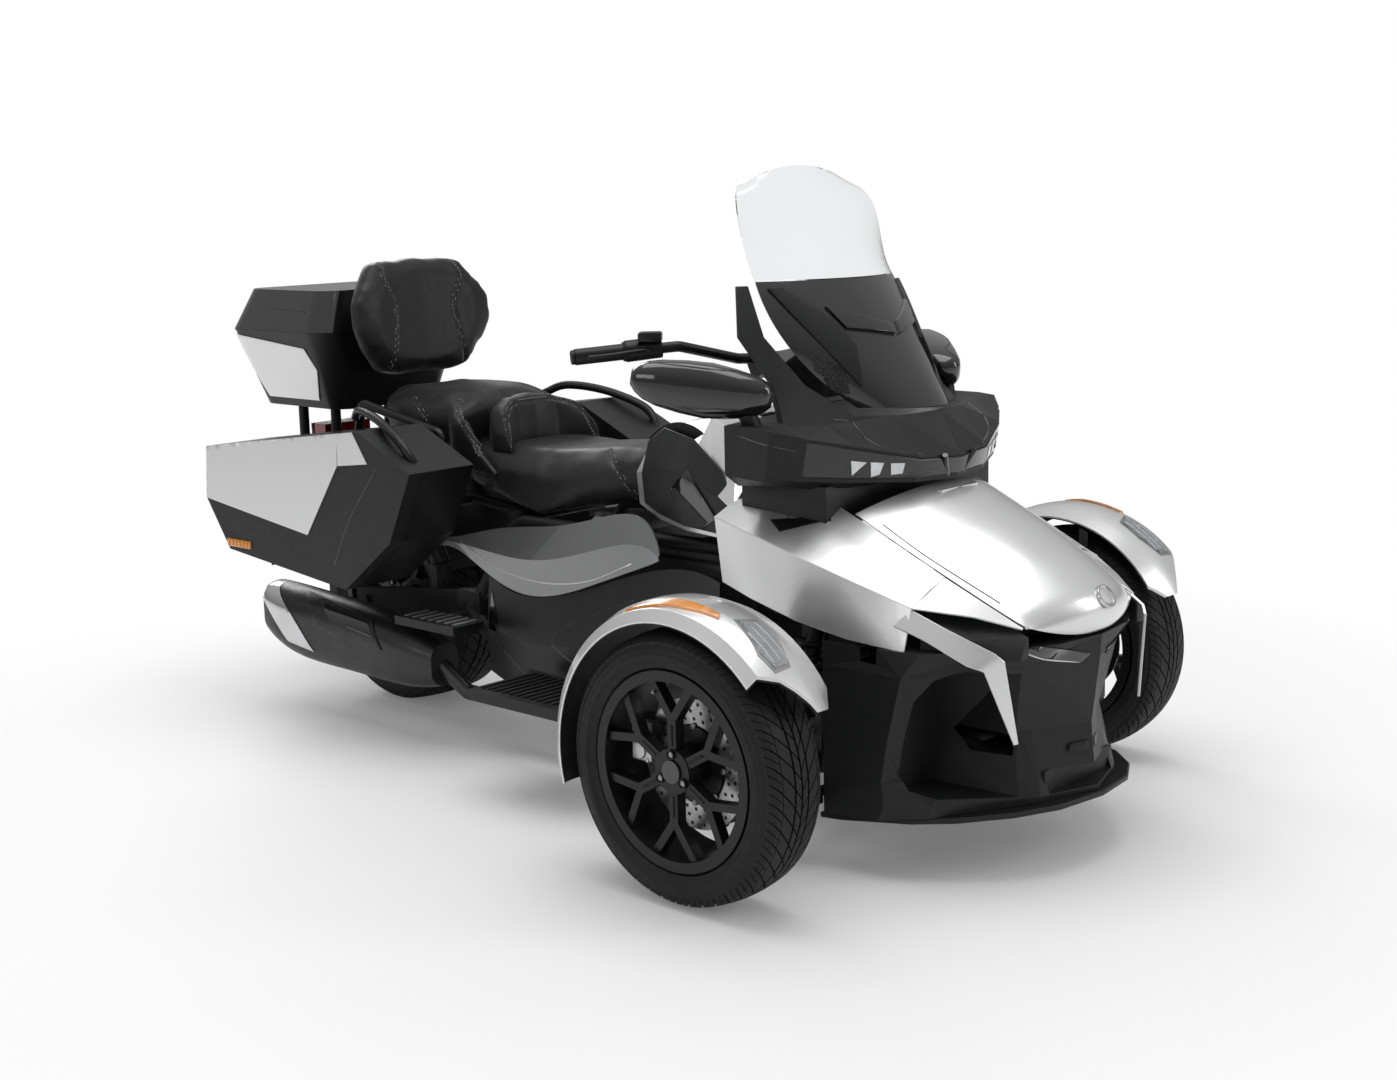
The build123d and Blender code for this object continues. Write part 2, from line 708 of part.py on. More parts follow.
# ---------------------------------------------------------------------------
# Upper fairing and screen
# ---------------------------------------------------------------------------
@cache
def upper_fairing():
    levels = []
    for z, front, side_x, half in ((762, 950, 830, 318), (800, 1000, 850, 372), (850, 1030, 870, 396),
                                   (915, 1000, 850, 402)):
        points = [(640, -half + 60), (side_x, -half), (front - 70, -half * 0.45), (front, 0),
                  (front - 70, half * 0.45), (side_x, half), (640, half - 60)]
        levels.append(make_face(Polyline(*[(x, y, z) for x, y in points], close=True)))
    body = loft(levels, ruled=True)
    body += block((645, 700), (-60, 60), (900, 960)) - instrument_panel()
    for side in (-1, 1):
        column = reach((860, 120, 905), (885, 120, 995), 12, screen_panel())
        holder = reach((770, 340, 900), (700, 372, 990), 20, mirror_pod())
        body += column if side > 0 else mirror(column, about=Plane.XZ)
        body += holder if side > 0 else mirror(holder, about=Plane.XZ)
    return body


def headlamp_bar():
    band = plan([(850, -404), (960, -190), (1038, 0), (960, 190), (850, 404), (800, 380), (900, 0), (800, -380)],
                784, 826)
    return band - upper_fairing()


def shell_rows(rows, wall):
    surface = Face.make_surface_from_array_of_points([[Vector(*p) for p in row] for row in rows])
    return Solid.thicken(surface, wall)


def screen_row(x, z, side_x, half, drop):
    """One row across the screen: the centre at (x, z), the sides swept back."""
    row = []
    for v in (-1, -0.66, -0.33, 0, 0.33, 0.66, 1):
        row.append((x + (side_x - x) * v * v, half * v, z - drop * v * v))
    return row


@cache
def screen_panel():
    rows = [screen_row(985, 935, 860, 130, 0), screen_row(910, 1030, 770, 200, 0),
            screen_row(840, 1120, 715, 236, 0), screen_row(775, 1205, 670, 238, 0)]
    return shell_rows(rows, 4)


def windscreen():
    rows = [screen_row(776, 1207, 668, 238, 0), screen_row(715, 1285, 640, 240, 0),
            screen_row(655, 1365, 620, 236, 4), screen_row(598, overall_height, 580, 190, 40)]
    return shell_rows(rows, 4)


@cache
def instrument_panel():
    return Pos(655, 0, 985) * Rot(0, -35, 0) * Box(30, 300, 130)


@cache
def mirror_pod():
    pod = Pos(660, 390, 990) * Rot(0, 0, 35) * Box(250, 90, 90)
    return fillet(pod.edges(), 30)


# ---------------------------------------------------------------------------
# Cases, boards, rails, lamps
# ---------------------------------------------------------------------------
case_split_y = 440
lid_gap = 0.5


@cache
def side_case():
    """The left side case: a hollow shell, open on its outer side."""
    outline = [(-1110, 745), (-1125, 600), (-1030, 470), (-520, 420), (-330, 560), (-240, 740), (-440, 830)]
    outer = profile(outline, case_inner_y, case_split_y)
    core = offset_outline(outline, -case_wall)
    inner = extrude(core.moved(Location((0, case_inner_y + case_wall, 0))), amount=300, dir=(0, 1, 0))
    return outer - inner


def offset_outline(points, amount):
    face = make_face(Polyline(*[(x, 0, z) for x, z in points], close=True))
    return offset(face, amount=amount)


def side_case_lid():
    outline = [(-1110, 745), (-1125, 600), (-1030, 470), (-520, 420), (-330, 560), (-240, 740), (-440, 830)]
    outer = profile(outline, case_split_y + lid_gap, case_outer_y)
    core = offset_outline(outline, -case_wall)
    inner = extrude(core.moved(Location((0, case_split_y - 10, 0))),
                    amount=case_outer_y - case_wall - case_split_y + 10, dir=(0, 1, 0))
    return outer - inner


top_case_x = (-1320, -868)
top_case_split = 1040


@cache
def top_case():
    outer = loft([Plane(origin=(-1090, 0, 824)) * RectangleRounded(380, 360, 60),
                  Plane(origin=(-1094, 0, top_case_split)) * RectangleRounded(452, 520, 70)])
    inner = loft([Plane(origin=(-1090, 0, 828)) * RectangleRounded(372, 352, 56),
                  Plane(origin=(-1094, 0, top_case_split + 1)) * RectangleRounded(444, 512, 66)])
    shelf = block((-900, -780), (-90, 90), (930, 950)) - passenger_backrest()
    shelf -= inner
    return outer - inner + shelf


def top_case_lid():
    low = top_case_split + lid_gap
    outer = loft([Plane(origin=(-1094, 0, low)) * RectangleRounded(452, 520, 70),
                  Plane(origin=(-1090, 0, 1150)) * RectangleRounded(380, 420, 60)])
    inner = loft([Plane(origin=(-1094, 0, low - 1)) * RectangleRounded(444, 512, 66),
                  Plane(origin=(-1090, 0, 1146)) * RectangleRounded(372, 412, 56)])
    return outer - inner


def footboard():
    board = block((20, 350), (330, 540), (235, 262))
    board += rod((175, 225 + 12, 197), (175, 345, 246), 12) - block((0, 400), (300, 600), (262, 300))
    rail = rod((0, rail_y, 185), (400, rail_y, 185), rail_radius + fit_gap)
    return board - rail


def passenger_board():
    board = block((-430, -200), (300, 400), (330, 352))
    return board + rod((-330, rail_y + rail_radius + fit_gap, 341), (-330, 310, 341), 11)


def grab_rail():
    return tube([(-395, 164.3, 622), (-395, 224, 622), (-420, 230, 800), (-740, 232, 860), (-800, 224, 661),
                 (-800, 164.3, 661)], 20, 12)


def tail_lamp():
    return block((-1180, -1120), (-80, 80), (704.3, 760))


def side_marker():
    return block((-1090, -1040), (case_outer_y + 0.5, case_outer_y + 14), (520, 536))


def build():
    wheels()
    save("frame", [frame()])
    save("engine_block", [engine_block()])
    save("swingarm", [swingarm(), *belt()])
    save("rear_fender", [rear_fender()])
    save("exhaust", [exhaust()])
    save("front_suspension", [piece for part in (*suspension(), damper()) for piece in both(part)])
    left_knuckle = knuckle() + fender_stay()
    for name, shape in zip(("knuckle_left", "knuckle_right"), both(left_knuckle)):
        save(name, [shape])
    for name, shape in zip(("front_fender_left", "front_fender_right"), both(front_fender())):
        save(name, [shape])
    save("handlebar", [steering_parts()])
    save("tie_rods", [tie_rods()])
    save("boot_lid", [boot_lid()])
    save("shoulder_panels", both(shoulder()) + both(blade()))
    save("nose_fascia", [nose_fascia()])
    save("splitter_lip", [splitter_lip()])
    save("lower_grille", [lower_grille()])
    save("boot_tub", [boot_tub()])
    save("side_panels", both(side_panel()))
    save("lower_side_panels", both(lower_side_panel()) + both(knee_panel()))
    save("console_cover", [console_cover()])
    save("rider_seat", [rider_seat()])
    save("rider_backrest", [rider_backrest()])
    save("passenger_seat", [passenger_seat()])
    save("passenger_backrest", [passenger_backrest()])
    save("upper_fairing", [upper_fairing()])
    save("headlamp_bar", [headlamp_bar()])
    save("screen_panel", [screen_panel()])
    save("windscreen", [windscreen()])
    save("instrument_panel", [instrument_panel()])
    save("mirror_pods", both(mirror_pod()))
    save("side_cases", both(side_case()))
    for name, shape in zip(("side_case_lid_left", "side_case_lid_right"), both(side_case_lid())):
        save(name, [shape])
    save("top_case", [top_case()])
    save("top_case_lid", [top_case_lid()])
    save("footboards", both(footboard()) + both(passenger_board()))
    save("grab_rails", both(grab_rail()))
    save("tail_lamps", [tail_lamp()])


build()
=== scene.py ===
import json
import math

import bmesh
import bpy
from mathutils import Matrix, Vector
from mathutils.bvhtree import BVHTree


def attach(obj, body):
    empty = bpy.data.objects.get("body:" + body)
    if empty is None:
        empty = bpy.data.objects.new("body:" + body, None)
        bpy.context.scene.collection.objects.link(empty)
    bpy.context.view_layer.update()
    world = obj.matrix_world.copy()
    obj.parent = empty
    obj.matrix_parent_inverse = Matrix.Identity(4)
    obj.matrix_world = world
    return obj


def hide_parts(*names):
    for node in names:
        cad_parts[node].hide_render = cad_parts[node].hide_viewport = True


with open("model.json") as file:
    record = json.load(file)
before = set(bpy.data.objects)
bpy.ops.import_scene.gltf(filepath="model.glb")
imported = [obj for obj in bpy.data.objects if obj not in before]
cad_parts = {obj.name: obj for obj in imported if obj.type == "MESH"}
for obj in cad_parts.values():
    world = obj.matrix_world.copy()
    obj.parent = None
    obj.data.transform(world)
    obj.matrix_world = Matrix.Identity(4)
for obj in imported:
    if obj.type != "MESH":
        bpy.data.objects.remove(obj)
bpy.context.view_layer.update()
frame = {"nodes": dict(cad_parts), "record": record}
nodes = frame["nodes"]
scene = bpy.context.scene


def socketSet(shader, settings):
    for key, value in settings.items():
        shader.inputs[key].default_value = value


def newMaterial(name):
    material = bpy.data.materials.new(name)
    material.use_nodes = True
    tree = material.node_tree
    shader = tree.nodes["Principled BSDF"]
    coords = tree.nodes.new("ShaderNodeTexCoord").outputs["Object"]
    return material, tree, shader, coords


def stretched(tree, coords, stretch):
    if not stretch:
        return coords
    mapping = tree.nodes.new("ShaderNodeMapping")
    mapping.inputs["Scale"].default_value = stretch
    tree.links.new(coords, mapping.inputs["Vector"])
    return mapping.outputs["Vector"]


def noiseInto(tree, coords, scale, detail, stretch=None):
    coords = stretched(tree, coords, stretch)
    noise = tree.nodes.new("ShaderNodeTexNoise")
    socketSet(noise, {"Scale": scale, "Detail": detail, "Roughness": 0.55})
    tree.links.new(coords, noise.inputs["Vector"])
    return noise.outputs["Fac"]


def cellsInto(tree, coords, scale, feature="DISTANCE_TO_EDGE", stretch=None):
    coords = stretched(tree, coords, stretch)
    cells = tree.nodes.new("ShaderNodeTexVoronoi")
    cells.feature = feature
    cells.inputs["Scale"].default_value = scale
    tree.links.new(coords, cells.inputs["Vector"])
    return cells.outputs["Distance"]


def spread(tree, value, low, high, fromLow=0.3, fromHigh=0.7):
    remap = tree.nodes.new("ShaderNodeMapRange")
    socketSet(remap, {"From Min": fromLow, "From Max": fromHigh, "To Min": low, "To Max": high})
    tree.links.new(value, remap.inputs["Value"])
    return remap.outputs["Result"]


def tones(tree, value, dark, light, fromLow=0.3, fromHigh=0.7):
    ramp = tree.nodes.new("ShaderNodeValToRGB")
    ramp.color_ramp.elements[0].position = fromLow
    ramp.color_ramp.elements[1].position = fromHigh
    ramp.color_ramp.elements[0].color = (*dark, 1)
    ramp.color_ramp.elements[1].color = (*light, 1)
    tree.links.new(value, ramp.inputs["Fac"])
    return ramp.outputs["Color"]


def bumps(tree, shader, height, strength, distance):
    bump = tree.nodes.new("ShaderNodeBump")
    socketSet(bump, {"Strength": strength, "Distance": distance})
    tree.links.new(height, bump.inputs["Height"])
    tree.links.new(bump.outputs["Normal"], shader.inputs["Normal"])


def finish(name, colour, rough, grain, patch, vary, roughVary, sockets, cells=False, stretch=None):
    # colour and roughness drift over patches, and a fine grain is in the bump
    material, tree, shader, coords = newMaterial(name)
    drift = noiseInto(tree, coords, patch, 5.0, stretch)
    dark = tuple(c * (1 - vary) for c in colour)
    light = tuple(min(1, c * (1 + vary)) for c in colour)
    tree.links.new(tones(tree, drift, dark, light), shader.inputs["Base Color"])
    scuff = noiseInto(tree, coords, patch * 6, 6.0, stretch)
    roughness = spread(tree, scuff, max(0.02, rough - roughVary), rough + roughVary)
    tree.links.new(roughness, shader.inputs["Roughness"])
    if grain:
        scale, strength, depth = grain
        if cells:
            height = cellsInto(tree, coords, scale, stretch=stretch)
        else:
            height = noiseInto(tree, coords, scale, 3.0, stretch)
        bumps(tree, shader, height, strength, depth)
    socketSet(shader, sockets)
    return material


def flakePaint(name, colour, rough, metallic, flake):
    material, tree, shader, coords = newMaterial(name)
    fine = cellsInto(tree, coords, 2600, "F1")
    dark = tuple(c * (1 - flake) for c in colour)
    light = tuple(min(1, c * (1 + flake * 0.6)) for c in colour)
    tree.links.new(tones(tree, fine, dark, light, 0.15, 0.75), shader.inputs["Base Color"])
    drift = noiseInto(tree, coords, 14, 4.0)
    tree.links.new(spread(tree, drift, rough - 0.03, rough + 0.03), shader.inputs["Roughness"])
    peel = noiseInto(tree, coords, 160, 2.0)
    bumps(tree, shader, peel, 0.05, 0.0003)
    socketSet(shader, {"Metallic": metallic, "Coat Weight": 1.0, "Coat Roughness": 0.03, "Coat IOR": 1.5})
    return material


def meshWithShadedHoles(name, solid, hole, scale, rough):
    # a perforated or woven surface: brighter ribs round small cells, painted near black as the shade seen
    # through the holes
    material, tree, shader, coords = newMaterial(name)
    edge = cellsInto(tree, coords, scale)
    # painted shade: the middle of each cell takes the near-black hole colour
    tree.links.new(tones(tree, edge, solid, hole, 0.06, 0.16), shader.inputs["Base Color"])
    tree.links.new(spread(tree, edge, rough, 0.9, 0.05, 0.2), shader.inputs["Roughness"])
    bumps(tree, shader, spread(tree, edge, 1, 0, 0.04, 0.18), 0.6, 0.002)
    return material


finishTable = {
    # colour, roughness, grain (scale, strength, depth), patches, colour drift, roughness drift, other sockets
    "mattPlastic": ((0.0125, 0.013, 0.0135), 0.46, (900, 0.25, 0.0003), 7, 0.14, 0.05,
                    {"Specular IOR Level": 0.32}),
    "darkPlastic": ((0.0072, 0.0073, 0.0078), 0.38, (700, 0.2, 0.0003), 8, 0.15, 0.05,
                    {"Specular IOR Level": 0.35}),
    "glossBlack": ((0.006, 0.006, 0.0065), 0.12, (120, 0.03, 0.0003), 5, 0.15, 0.03,
                   {"Coat Weight": 0.8, "Coat Roughness": 0.04}),
    "rubber": ((0.0095, 0.0095, 0.0098), 0.6, (300, 0.2, 0.0005), 12, 0.2, 0.08, {"Specular IOR Level": 0.3}),
    "satinBlack": ((0.0062, 0.0062, 0.0066), 0.33, (500, 0.08, 0.0002), 10, 0.15, 0.05,
                   {"Specular IOR Level": 0.35}),
    "frameBlack": ((0.0085, 0.0085, 0.009), 0.45, (220, 0.15, 0.0005), 9, 0.2, 0.08,
                   {"Specular IOR Level": 0.3}),
    "castAlloy": ((0.33, 0.33, 0.335), 0.45, (160, 0.35, 0.0008), 12, 0.15, 0.1, {"Metallic": 0.9}),
    "darkCasting": ((0.05, 0.05, 0.052), 0.5, (180, 0.35, 0.0008), 12, 0.2, 0.1, {"Metallic": 0.5}),
    "drilledSteel": ((0.42, 0.42, 0.425), 0.3, (60, 0.2, 0.0003), 9, 0.12, 0.08, {"Metallic": 1.0}),
    "chrome": ((0.62, 0.62, 0.63), 0.12, (60, 0.03, 0.0002), 6, 0.06, 0.04, {"Metallic": 1.0}),
    "heatSteel": ((0.045, 0.045, 0.047), 0.36, (130, 0.2, 0.0004), 6, 0.25, 0.08, {"Metallic": 0.8}),
    "caliperSilver": ((0.55, 0.55, 0.56), 0.38, (240, 0.2, 0.0004), 12, 0.1, 0.06, {"Metallic": 0.6}),
    "threadGrey": ((0.26, 0.26, 0.265), 0.75, (1500, 0.5, 0.0002), 40, 0.2, 0.05, {}),
    "whiteLamp": ((0.75, 0.76, 0.78), 0.16, (260, 0.4, 0.0008), 30, 0.12, 0.05, {"Coat Weight": 1.0}),
    "darkLens": ((0.010, 0.010, 0.011), 0.07, (90, 0.02, 0.0002), 6, 0.2, 0.02,
                 {"Coat Weight": 1.0, "Coat Roughness": 0.02}),
    "clearLens": ((0.86, 0.88, 0.9), 0.05, (80, 0.03, 0.0003), 8, 0.05, 0.02,
                  {"Transmission Weight": 0.92, "IOR": 1.45}),
    "smokedLens": ((0.045, 0.046, 0.05), 0.05, (80, 0.02, 0.0002), 8, 0.1, 0.02,
                   {"Transmission Weight": 0.85, "IOR": 1.4, "Coat Weight": 0.6}),
    "screenClear": ((0.86, 0.866, 0.875), 0.02, (30, 0.01, 0.0002), 4, 0.02, 0.01,
                    {"Transmission Weight": 1.0, "IOR": 1.3}),
    "mirrorGlass": ((0.72, 0.74, 0.77), 0.04, None, 6, 0.03, 0.02, {"Metallic": 1.0}),
    "smokedPanel": ((0.016, 0.016, 0.017), 0.16, (60, 0.02, 0.0002), 6, 0.2, 0.03,
                    {"Coat Weight": 0.6, "Coat Roughness": 0.05}),
    # these end with whether the grain is made of cells, and how it is stretched
    "leather": ((0.0078, 0.0078, 0.0082), 0.44, (420, 0.32, 0.0006), 11, 0.2, 0.07,
                {"Sheen Weight": 0.05, "Sheen Roughness": 0.4, "Specular IOR Level": 0.35}, True),
    "brushedSteel": ((0.5, 0.5, 0.505), 0.3, (90, 0.3, 0.0003), 8, 0.1, 0.08, {"Metallic": 1.0},
                     False, (1, 1, 14)),
    "amberLens": ((0.78, 0.28, 0.02), 0.14, (240, 0.35, 0.0008), 20, 0.12, 0.04,
                  {"Coat Weight": 1.0, "Transmission Weight": 0.15}, False, (3, 1, 1)),
    "redLens": ((0.30, 0.006, 0.006), 0.12, (260, 0.35, 0.0008), 20, 0.2, 0.04, {"Coat Weight": 1.0}, False,
                (1, 3, 1))}

finishes = {name: finish(name, *row) for name, row in finishTable.items()}
finishes["silverPaint"] = flakePaint("silverPaint", (0.72, 0.722, 0.727), 0.32, 0.72, 0.05)
finishes["greyPaint"] = flakePaint("greyPaint", (0.20, 0.203, 0.207), 0.34, 0.75, 0.22)
# the screen vent's fine mesh, its cells painted near black as shade
finishes["fineMeshShadedHoles"] = meshWithShadedHoles("fineMeshShadedHoles", (0.05, 0.05, 0.052), (0.003, 0.003, 0.003), 260, 0.4)
print("finishes", len(finishes))

slotFinish = {
    "silver_paint": "silverPaint", "grey_paint": "greyPaint", "black_plastic": "mattPlastic",
    "gloss_black": "glossBlack", "clear_screen": "screenClear", "dark_lens": "darkLens",
    "red_lens": "redLens", "black_leather": "leather", "tyre_rubber": "rubber", "rim_black": "satinBlack",
    "frame_black": "frameBlack", "cast_alloy": "castAlloy", "muffler_steel": "heatSteel",
    "steel": "brushedSteel"}
nodeFinish = {
    "engine_block": "darkCasting", "boot_tub": "darkPlastic", "side_cases": "darkPlastic",
    "lower_side_panels": "darkPlastic", "headlamp_bar": "smokedLens", "instrument_panel": "darkLens",
    "knuckle_left": "darkCasting", "knuckle_right": "darkCasting", "grab_rails": "satinBlack",
    "screen_panel": "smokedPanel", "handlebar": "satinBlack", "mirror_pods": "glossBlack",
    "top_case": "darkPlastic", "exhaust": "heatSteel", "side_case_lid_left": "mattPlastic",
    "side_case_lid_right": "mattPlastic"}

for part in frame["record"]["subparts"]:
    chosen = finishes[nodeFinish.get(part["node"], slotFinish[part["material_slot"]])]
    for materialSlot in nodes[part["node"]].material_slots:
        materialSlot.material = chosen
print("CAD nodes painted", len(nodes))


mergeReach = 0.00002


def tidyMesh(bm):
    bmesh.ops.remove_doubles(bm, verts=bm.verts, dist=mergeReach)
    bmesh.ops.recalc_face_normals(bm, faces=bm.faces)


def toObject(name, bm):
    # the bmesh is written to a new object in the scene
    data = bpy.data.meshes.new(name)
    bm.to_mesh(data)
    bm.free()
    made = bpy.data.objects.new(name, data)
    scene.collection.objects.link(made)
    return made


def once(items):
    # each item a single time, in the order met
    return list(dict.fromkeys(items))


def vertsOf(geometry):
    return [g for g in geometry if isinstance(g, bmesh.types.BMVert) and g.is_valid]


def piece(name, bm, material, body, crease=32):
    # the bmesh becomes a finished object that rides on a body
    for face in bm.faces:
        face.smooth = True
    for edge in bm.edges:
        edge.smooth = len(edge.link_faces) == 2 and edge.calc_face_angle(0) < math.radians(crease)
    made = toObject(name, bm)
    made.data.materials.append(finishes[material])
    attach(made, body)
    return made


def roundEdges(bm, edges, width):
    return bmesh.ops.bevel(bm, geom=edges, offset=width, affect="EDGES", segments=2, profile=0.5,
                           material=-1, clamp_overlap=True)


def bevelled(bm, fresh, edges, width):
    # the new verts of a shape whose edges are rounded
    made = roundEdges(bm, edges, width)
    return once([v for f in made["faces"] for v in f.verts] + [v for v in fresh if v.is_valid])


def aimed(place, direction):
    # turns +Z to the direction and moves it to the place
    return Matrix.Translation(place) @ direction.to_track_quat("Z", "Y").to_matrix().to_4x4()


def addBox(bm, centre, size, turn=None, bevel=0.0):
    # a box turned about its own middle
    fresh = bmesh.ops.create_cube(bm, size=1)["verts"]
    bmesh.ops.scale(bm, verts=fresh, vec=size)
    if bevel:
        fresh = bevelled(bm, fresh, once(e for v in fresh for e in v.link_edges), bevel)
    if turn:
        bmesh.ops.rotate(bm, verts=fresh, cent=(0, 0, 0), matrix=turn)
    bmesh.ops.translate(bm, verts=fresh, vec=centre)


def addRod(bm, start, end, radius, endRadius=None, segments=24, bevel=0.0):
    # a cylinder between two points, or a cone with a second radius
    start, end = Vector(start), Vector(end)
    along = end - start
    far = radius if endRadius is None else endRadius
    fresh = bmesh.ops.create_cone(bm, cap_ends=True, segments=segments, radius1=radius, radius2=far,
                                  depth=along.length)["verts"]
    if bevel:
        rims = once(e for v in fresh for e in v.link_edges if any(len(f.verts) > 4 for f in e.link_faces))
        fresh = bevelled(bm, fresh, rims, bevel)
    bmesh.ops.transform(bm, verts=fresh, matrix=aimed((start + end) / 2, along))


def closedLoop(bm, points):
    # verts at the points and the edges that join them in a ring
    verts = [bm.verts.new(p) for p in points]
    return verts, [bm.edges.new((v, verts[(i + 1) % len(verts)])) for i, v in enumerate(verts)]


def addRing(bm, section, centre, axis, segments):
    # a closed (radius, offset) section spun about an axis through the centre
    side = {"X": Vector((0, 0, 1)), "Y": Vector((1, 0, 0))}[axis]
    along = {"X": Vector((1, 0, 0)), "Y": Vector((0, 1, 0))}[axis]
    centre = Vector(centre)
    verts, edges = closedLoop(bm, [centre + side * radius + along * offset for radius, offset in section])
    bmesh.ops.spin(bm, geom=verts + edges, cent=centre, axis=along, angle=math.tau, steps=segments,
                   use_merge=True)


def addTube(bm, points, radius, segments):
    # a round tube along the points, its rings turned with the path
    points = [Vector(p) for p in points]
    rings = []
    for index, point in enumerate(points):
        before, after = points[max(0, index - 1)], points[min(len(points) - 1, index + 1)]
        along = (after - before).normalized()
        ring = bmesh.ops.create_circle(bm, segments=segments, radius=radius)["verts"]
        bmesh.ops.transform(bm, verts=ring, matrix=aimed(point, along))
        if rings:                       # line the ring up with the one before
            first = rings[-1][0].co - points[index - 1]
            shift = min(range(segments), key=lambda k: -first.dot(ring[k].co - point))
            ring = ring[shift:] + ring[:shift]
        rings.append(ring)
    for near, far in zip(rings, rings[1:]):
        for k in range(segments):
            bm.faces.new((near[k], near[(k + 1) % segments], far[(k + 1) % segments], far[k]))
    bm.faces.new(rings[0][::-1])
    bm.faces.new(rings[-1])


def smoothPath(corners, steps):
    # points of a Catmull-Rom curve through the corners
    corners = [Vector(c) for c in corners]
    padded = [corners[0] * 2 - corners[1]] + corners + [corners[-1] * 2 - corners[-2]]
    points = []
    for a, b, c, d in zip(padded, padded[1:], padded[2:], padded[3:]):
        for step in range(steps):
            t = step / steps
            points.append(0.5 * (2 * b + (c - a) * t + (2 * a - 5 * b + 4 * c - d) * t * t
                                 + (3 * b - a - 3 * c + d) * t ** 3))
    return points + [corners[-1]]


surfaceTrees = {}


def surfaceOf(source):
    # a search tree of a CAD node's or a piece's mesh
    data = nodes[source].data if source in nodes else bpy.data.objects[source].data
    if source not in surfaceTrees:
        copy = bmesh.new()
        copy.from_mesh(data)
        surfaceTrees[source] = BVHTree.FromBMesh(copy)
        copy.free()
    return surfaceTrees[source]


def onSurface(source, point, direction, reach=0.6):
    # where a ray towards the point along the direction first meets the source
    direction = Vector(direction).normalized()
    place, normal, _, _ = surfaceOf(source).ray_cast(Vector(point) - direction * reach, direction, 2 * reach)
    if place is None:
        place, normal, _, _ = surfaceOf(source).find_nearest(Vector(point))
    return place, (normal if normal.dot(direction) < 0 else -normal)


def drape(bm, source, outline, direction, cell, lift, thickness):
    # a sheet of trim laid on a surface: the convex outline is projected along the direction
    direction = Vector(direction).normalized()
    outline = [Vector(p) for p in outline]
    middle = sum(outline, Vector()) / len(outline)
    across = (outline[1] - outline[0])
    across = (across - direction * across.dot(direction)).normalized()
    up = direction.cross(across)
    flat = [((p - middle).dot(across), (p - middle).dot(up)) for p in outline]
    halfX, halfY = max(abs(x) for x, _ in flat) + cell, max(abs(y) for _, y in flat) + cell
    size = max(halfX, halfY)
    count = max(2, round(2 * size / cell))
    fresh = bmesh.ops.create_grid(bm, x_segments=count, y_segments=count, size=size)["verts"]
    area = sum(x1 * y2 - x2 * y1 for (x1, y1), (x2, y2) in zip(flat, flat[1:] + flat[:1]))
    sign = 1 if area > 0 else -1
    mine = list(fresh)
    for (x1, y1), (x2, y2) in zip(flat, flat[1:] + flat[:1]):
        faces = once(f for v in mine for f in v.link_faces)
        edges = once(e for v in mine for e in v.link_edges)
        cut = bmesh.ops.bisect_plane(bm, geom=[*mine, *edges, *faces], plane_co=(x1, y1, 0), dist=0.000001,
                                     plane_no=((y2 - y1) * sign, (x1 - x2) * sign, 0), clear_outer=True)
        mine = once([v for v in mine if v.is_valid] + vertsOf(cut["geom"]))
    for vert in mine:
        flatPoint = middle + across * vert.co.x + up * vert.co.y
        place, normal = onSurface(source, flatPoint, direction)
        vert.co = place + normal * lift
        vert.normal_update()
    faces = once(f for v in mine for f in v.link_faces)
    for face in faces:
        face.normal_update()
        if face.normal.dot(direction) > 0:
            face.normal_flip()
    raised = bmesh.ops.extrude_face_region(bm, geom=faces)["geom"]
    bmesh.ops.translate(bm, verts=vertsOf(raised), vec=-direction * thickness)
    return [g for g in raised if isinstance(g, bmesh.types.BMFace)]


stitch = {"pitch": 0.009, "length": 0.0055, "radius": 0.0009, "sunk": 0.4}


def stitchRow(bm, source, corners, direction, offset):
    # short raised stitches along a path laid on a surface
    radius = stitch["radius"]
    points = [onSurface(source, p, direction, 0.12) for p in smoothPath(corners, 10)]
    walked, nextStart = 0.0, 0.0
    for (a, normalA), (b, _) in zip(points, points[1:]):
        span = (b - a).length
        while nextStart < walked + span and span > 0:
            along = (b - a).normalized()
            start = a + along * (nextStart - walked) + normalA * radius * stitch["sunk"]
            start = start + along.cross(normalA) * offset
            addRod(bm, start, start + along * stitch["length"], radius, segments=6)
            nextStart += stitch["pitch"]
        walked += span


sides = (("Left", 1), ("Right", -1))


def ofSide(points, side):
    # points given for the right side, moved to the side asked for
    return [Vector((x, -y * side, z)) for x, y, z in points]


def bothSides(right):
    # a (y, z) outline given for the right side, closed with its mirror image
    return right + [(-y, z) for y, z in reversed(right)]


def addLoft(bm, stations):
    # a closed body through loops of points, bridged one to the next
    loops = [closedLoop(bm, points) for points in stations]
    for (_, near), (_, far) in zip(loops, loops[1:]):
        bmesh.ops.bridge_loops(bm, edges=near + far)
    for verts, _ in (loops[0], loops[-1]):
        bm.faces.new(verts)


def inMetres(points):
    return [(x / 1000, y / 1000, z / 1000) for x, y, z in points]


def acrossLoft(bm, half, mirrorToo=True):
    # stations across the vehicle, each y and its (x, z) outline in millimetres
    rows = [(-y, points) for y, points in reversed(half)] + half[1:] if mirrorToo else half
    addLoft(bm, [inMetres((x, y, z) for x, z in points) for y, points in rows])


def alongLoft(bm, stations):
    # stations along the vehicle, each x and its (y, z) outline in millimetres
    addLoft(bm, [inMetres((x, y, z) for y, z in points) for x, points in stations])


def levelLoft(bm, levels):
    # outlines seen from above, each z and its (x, y) points in millimetres
    addLoft(bm, [inMetres((x, y, z) for x, y in points) for z, points in levels])


rearAxle = -827.5                          # millimetres
frontHub = {"x": 0.8865, "y": 0.692, "z": 0.281}


padFold = {"frames": 20, "pressure": 2.4, "stiffness": 16, "bending": 5, "smoothing": 13, "fill": 0.6,
           "seamWidth": 0.009, "seamDepth": 0.004, "rowOffset": 0.0055}


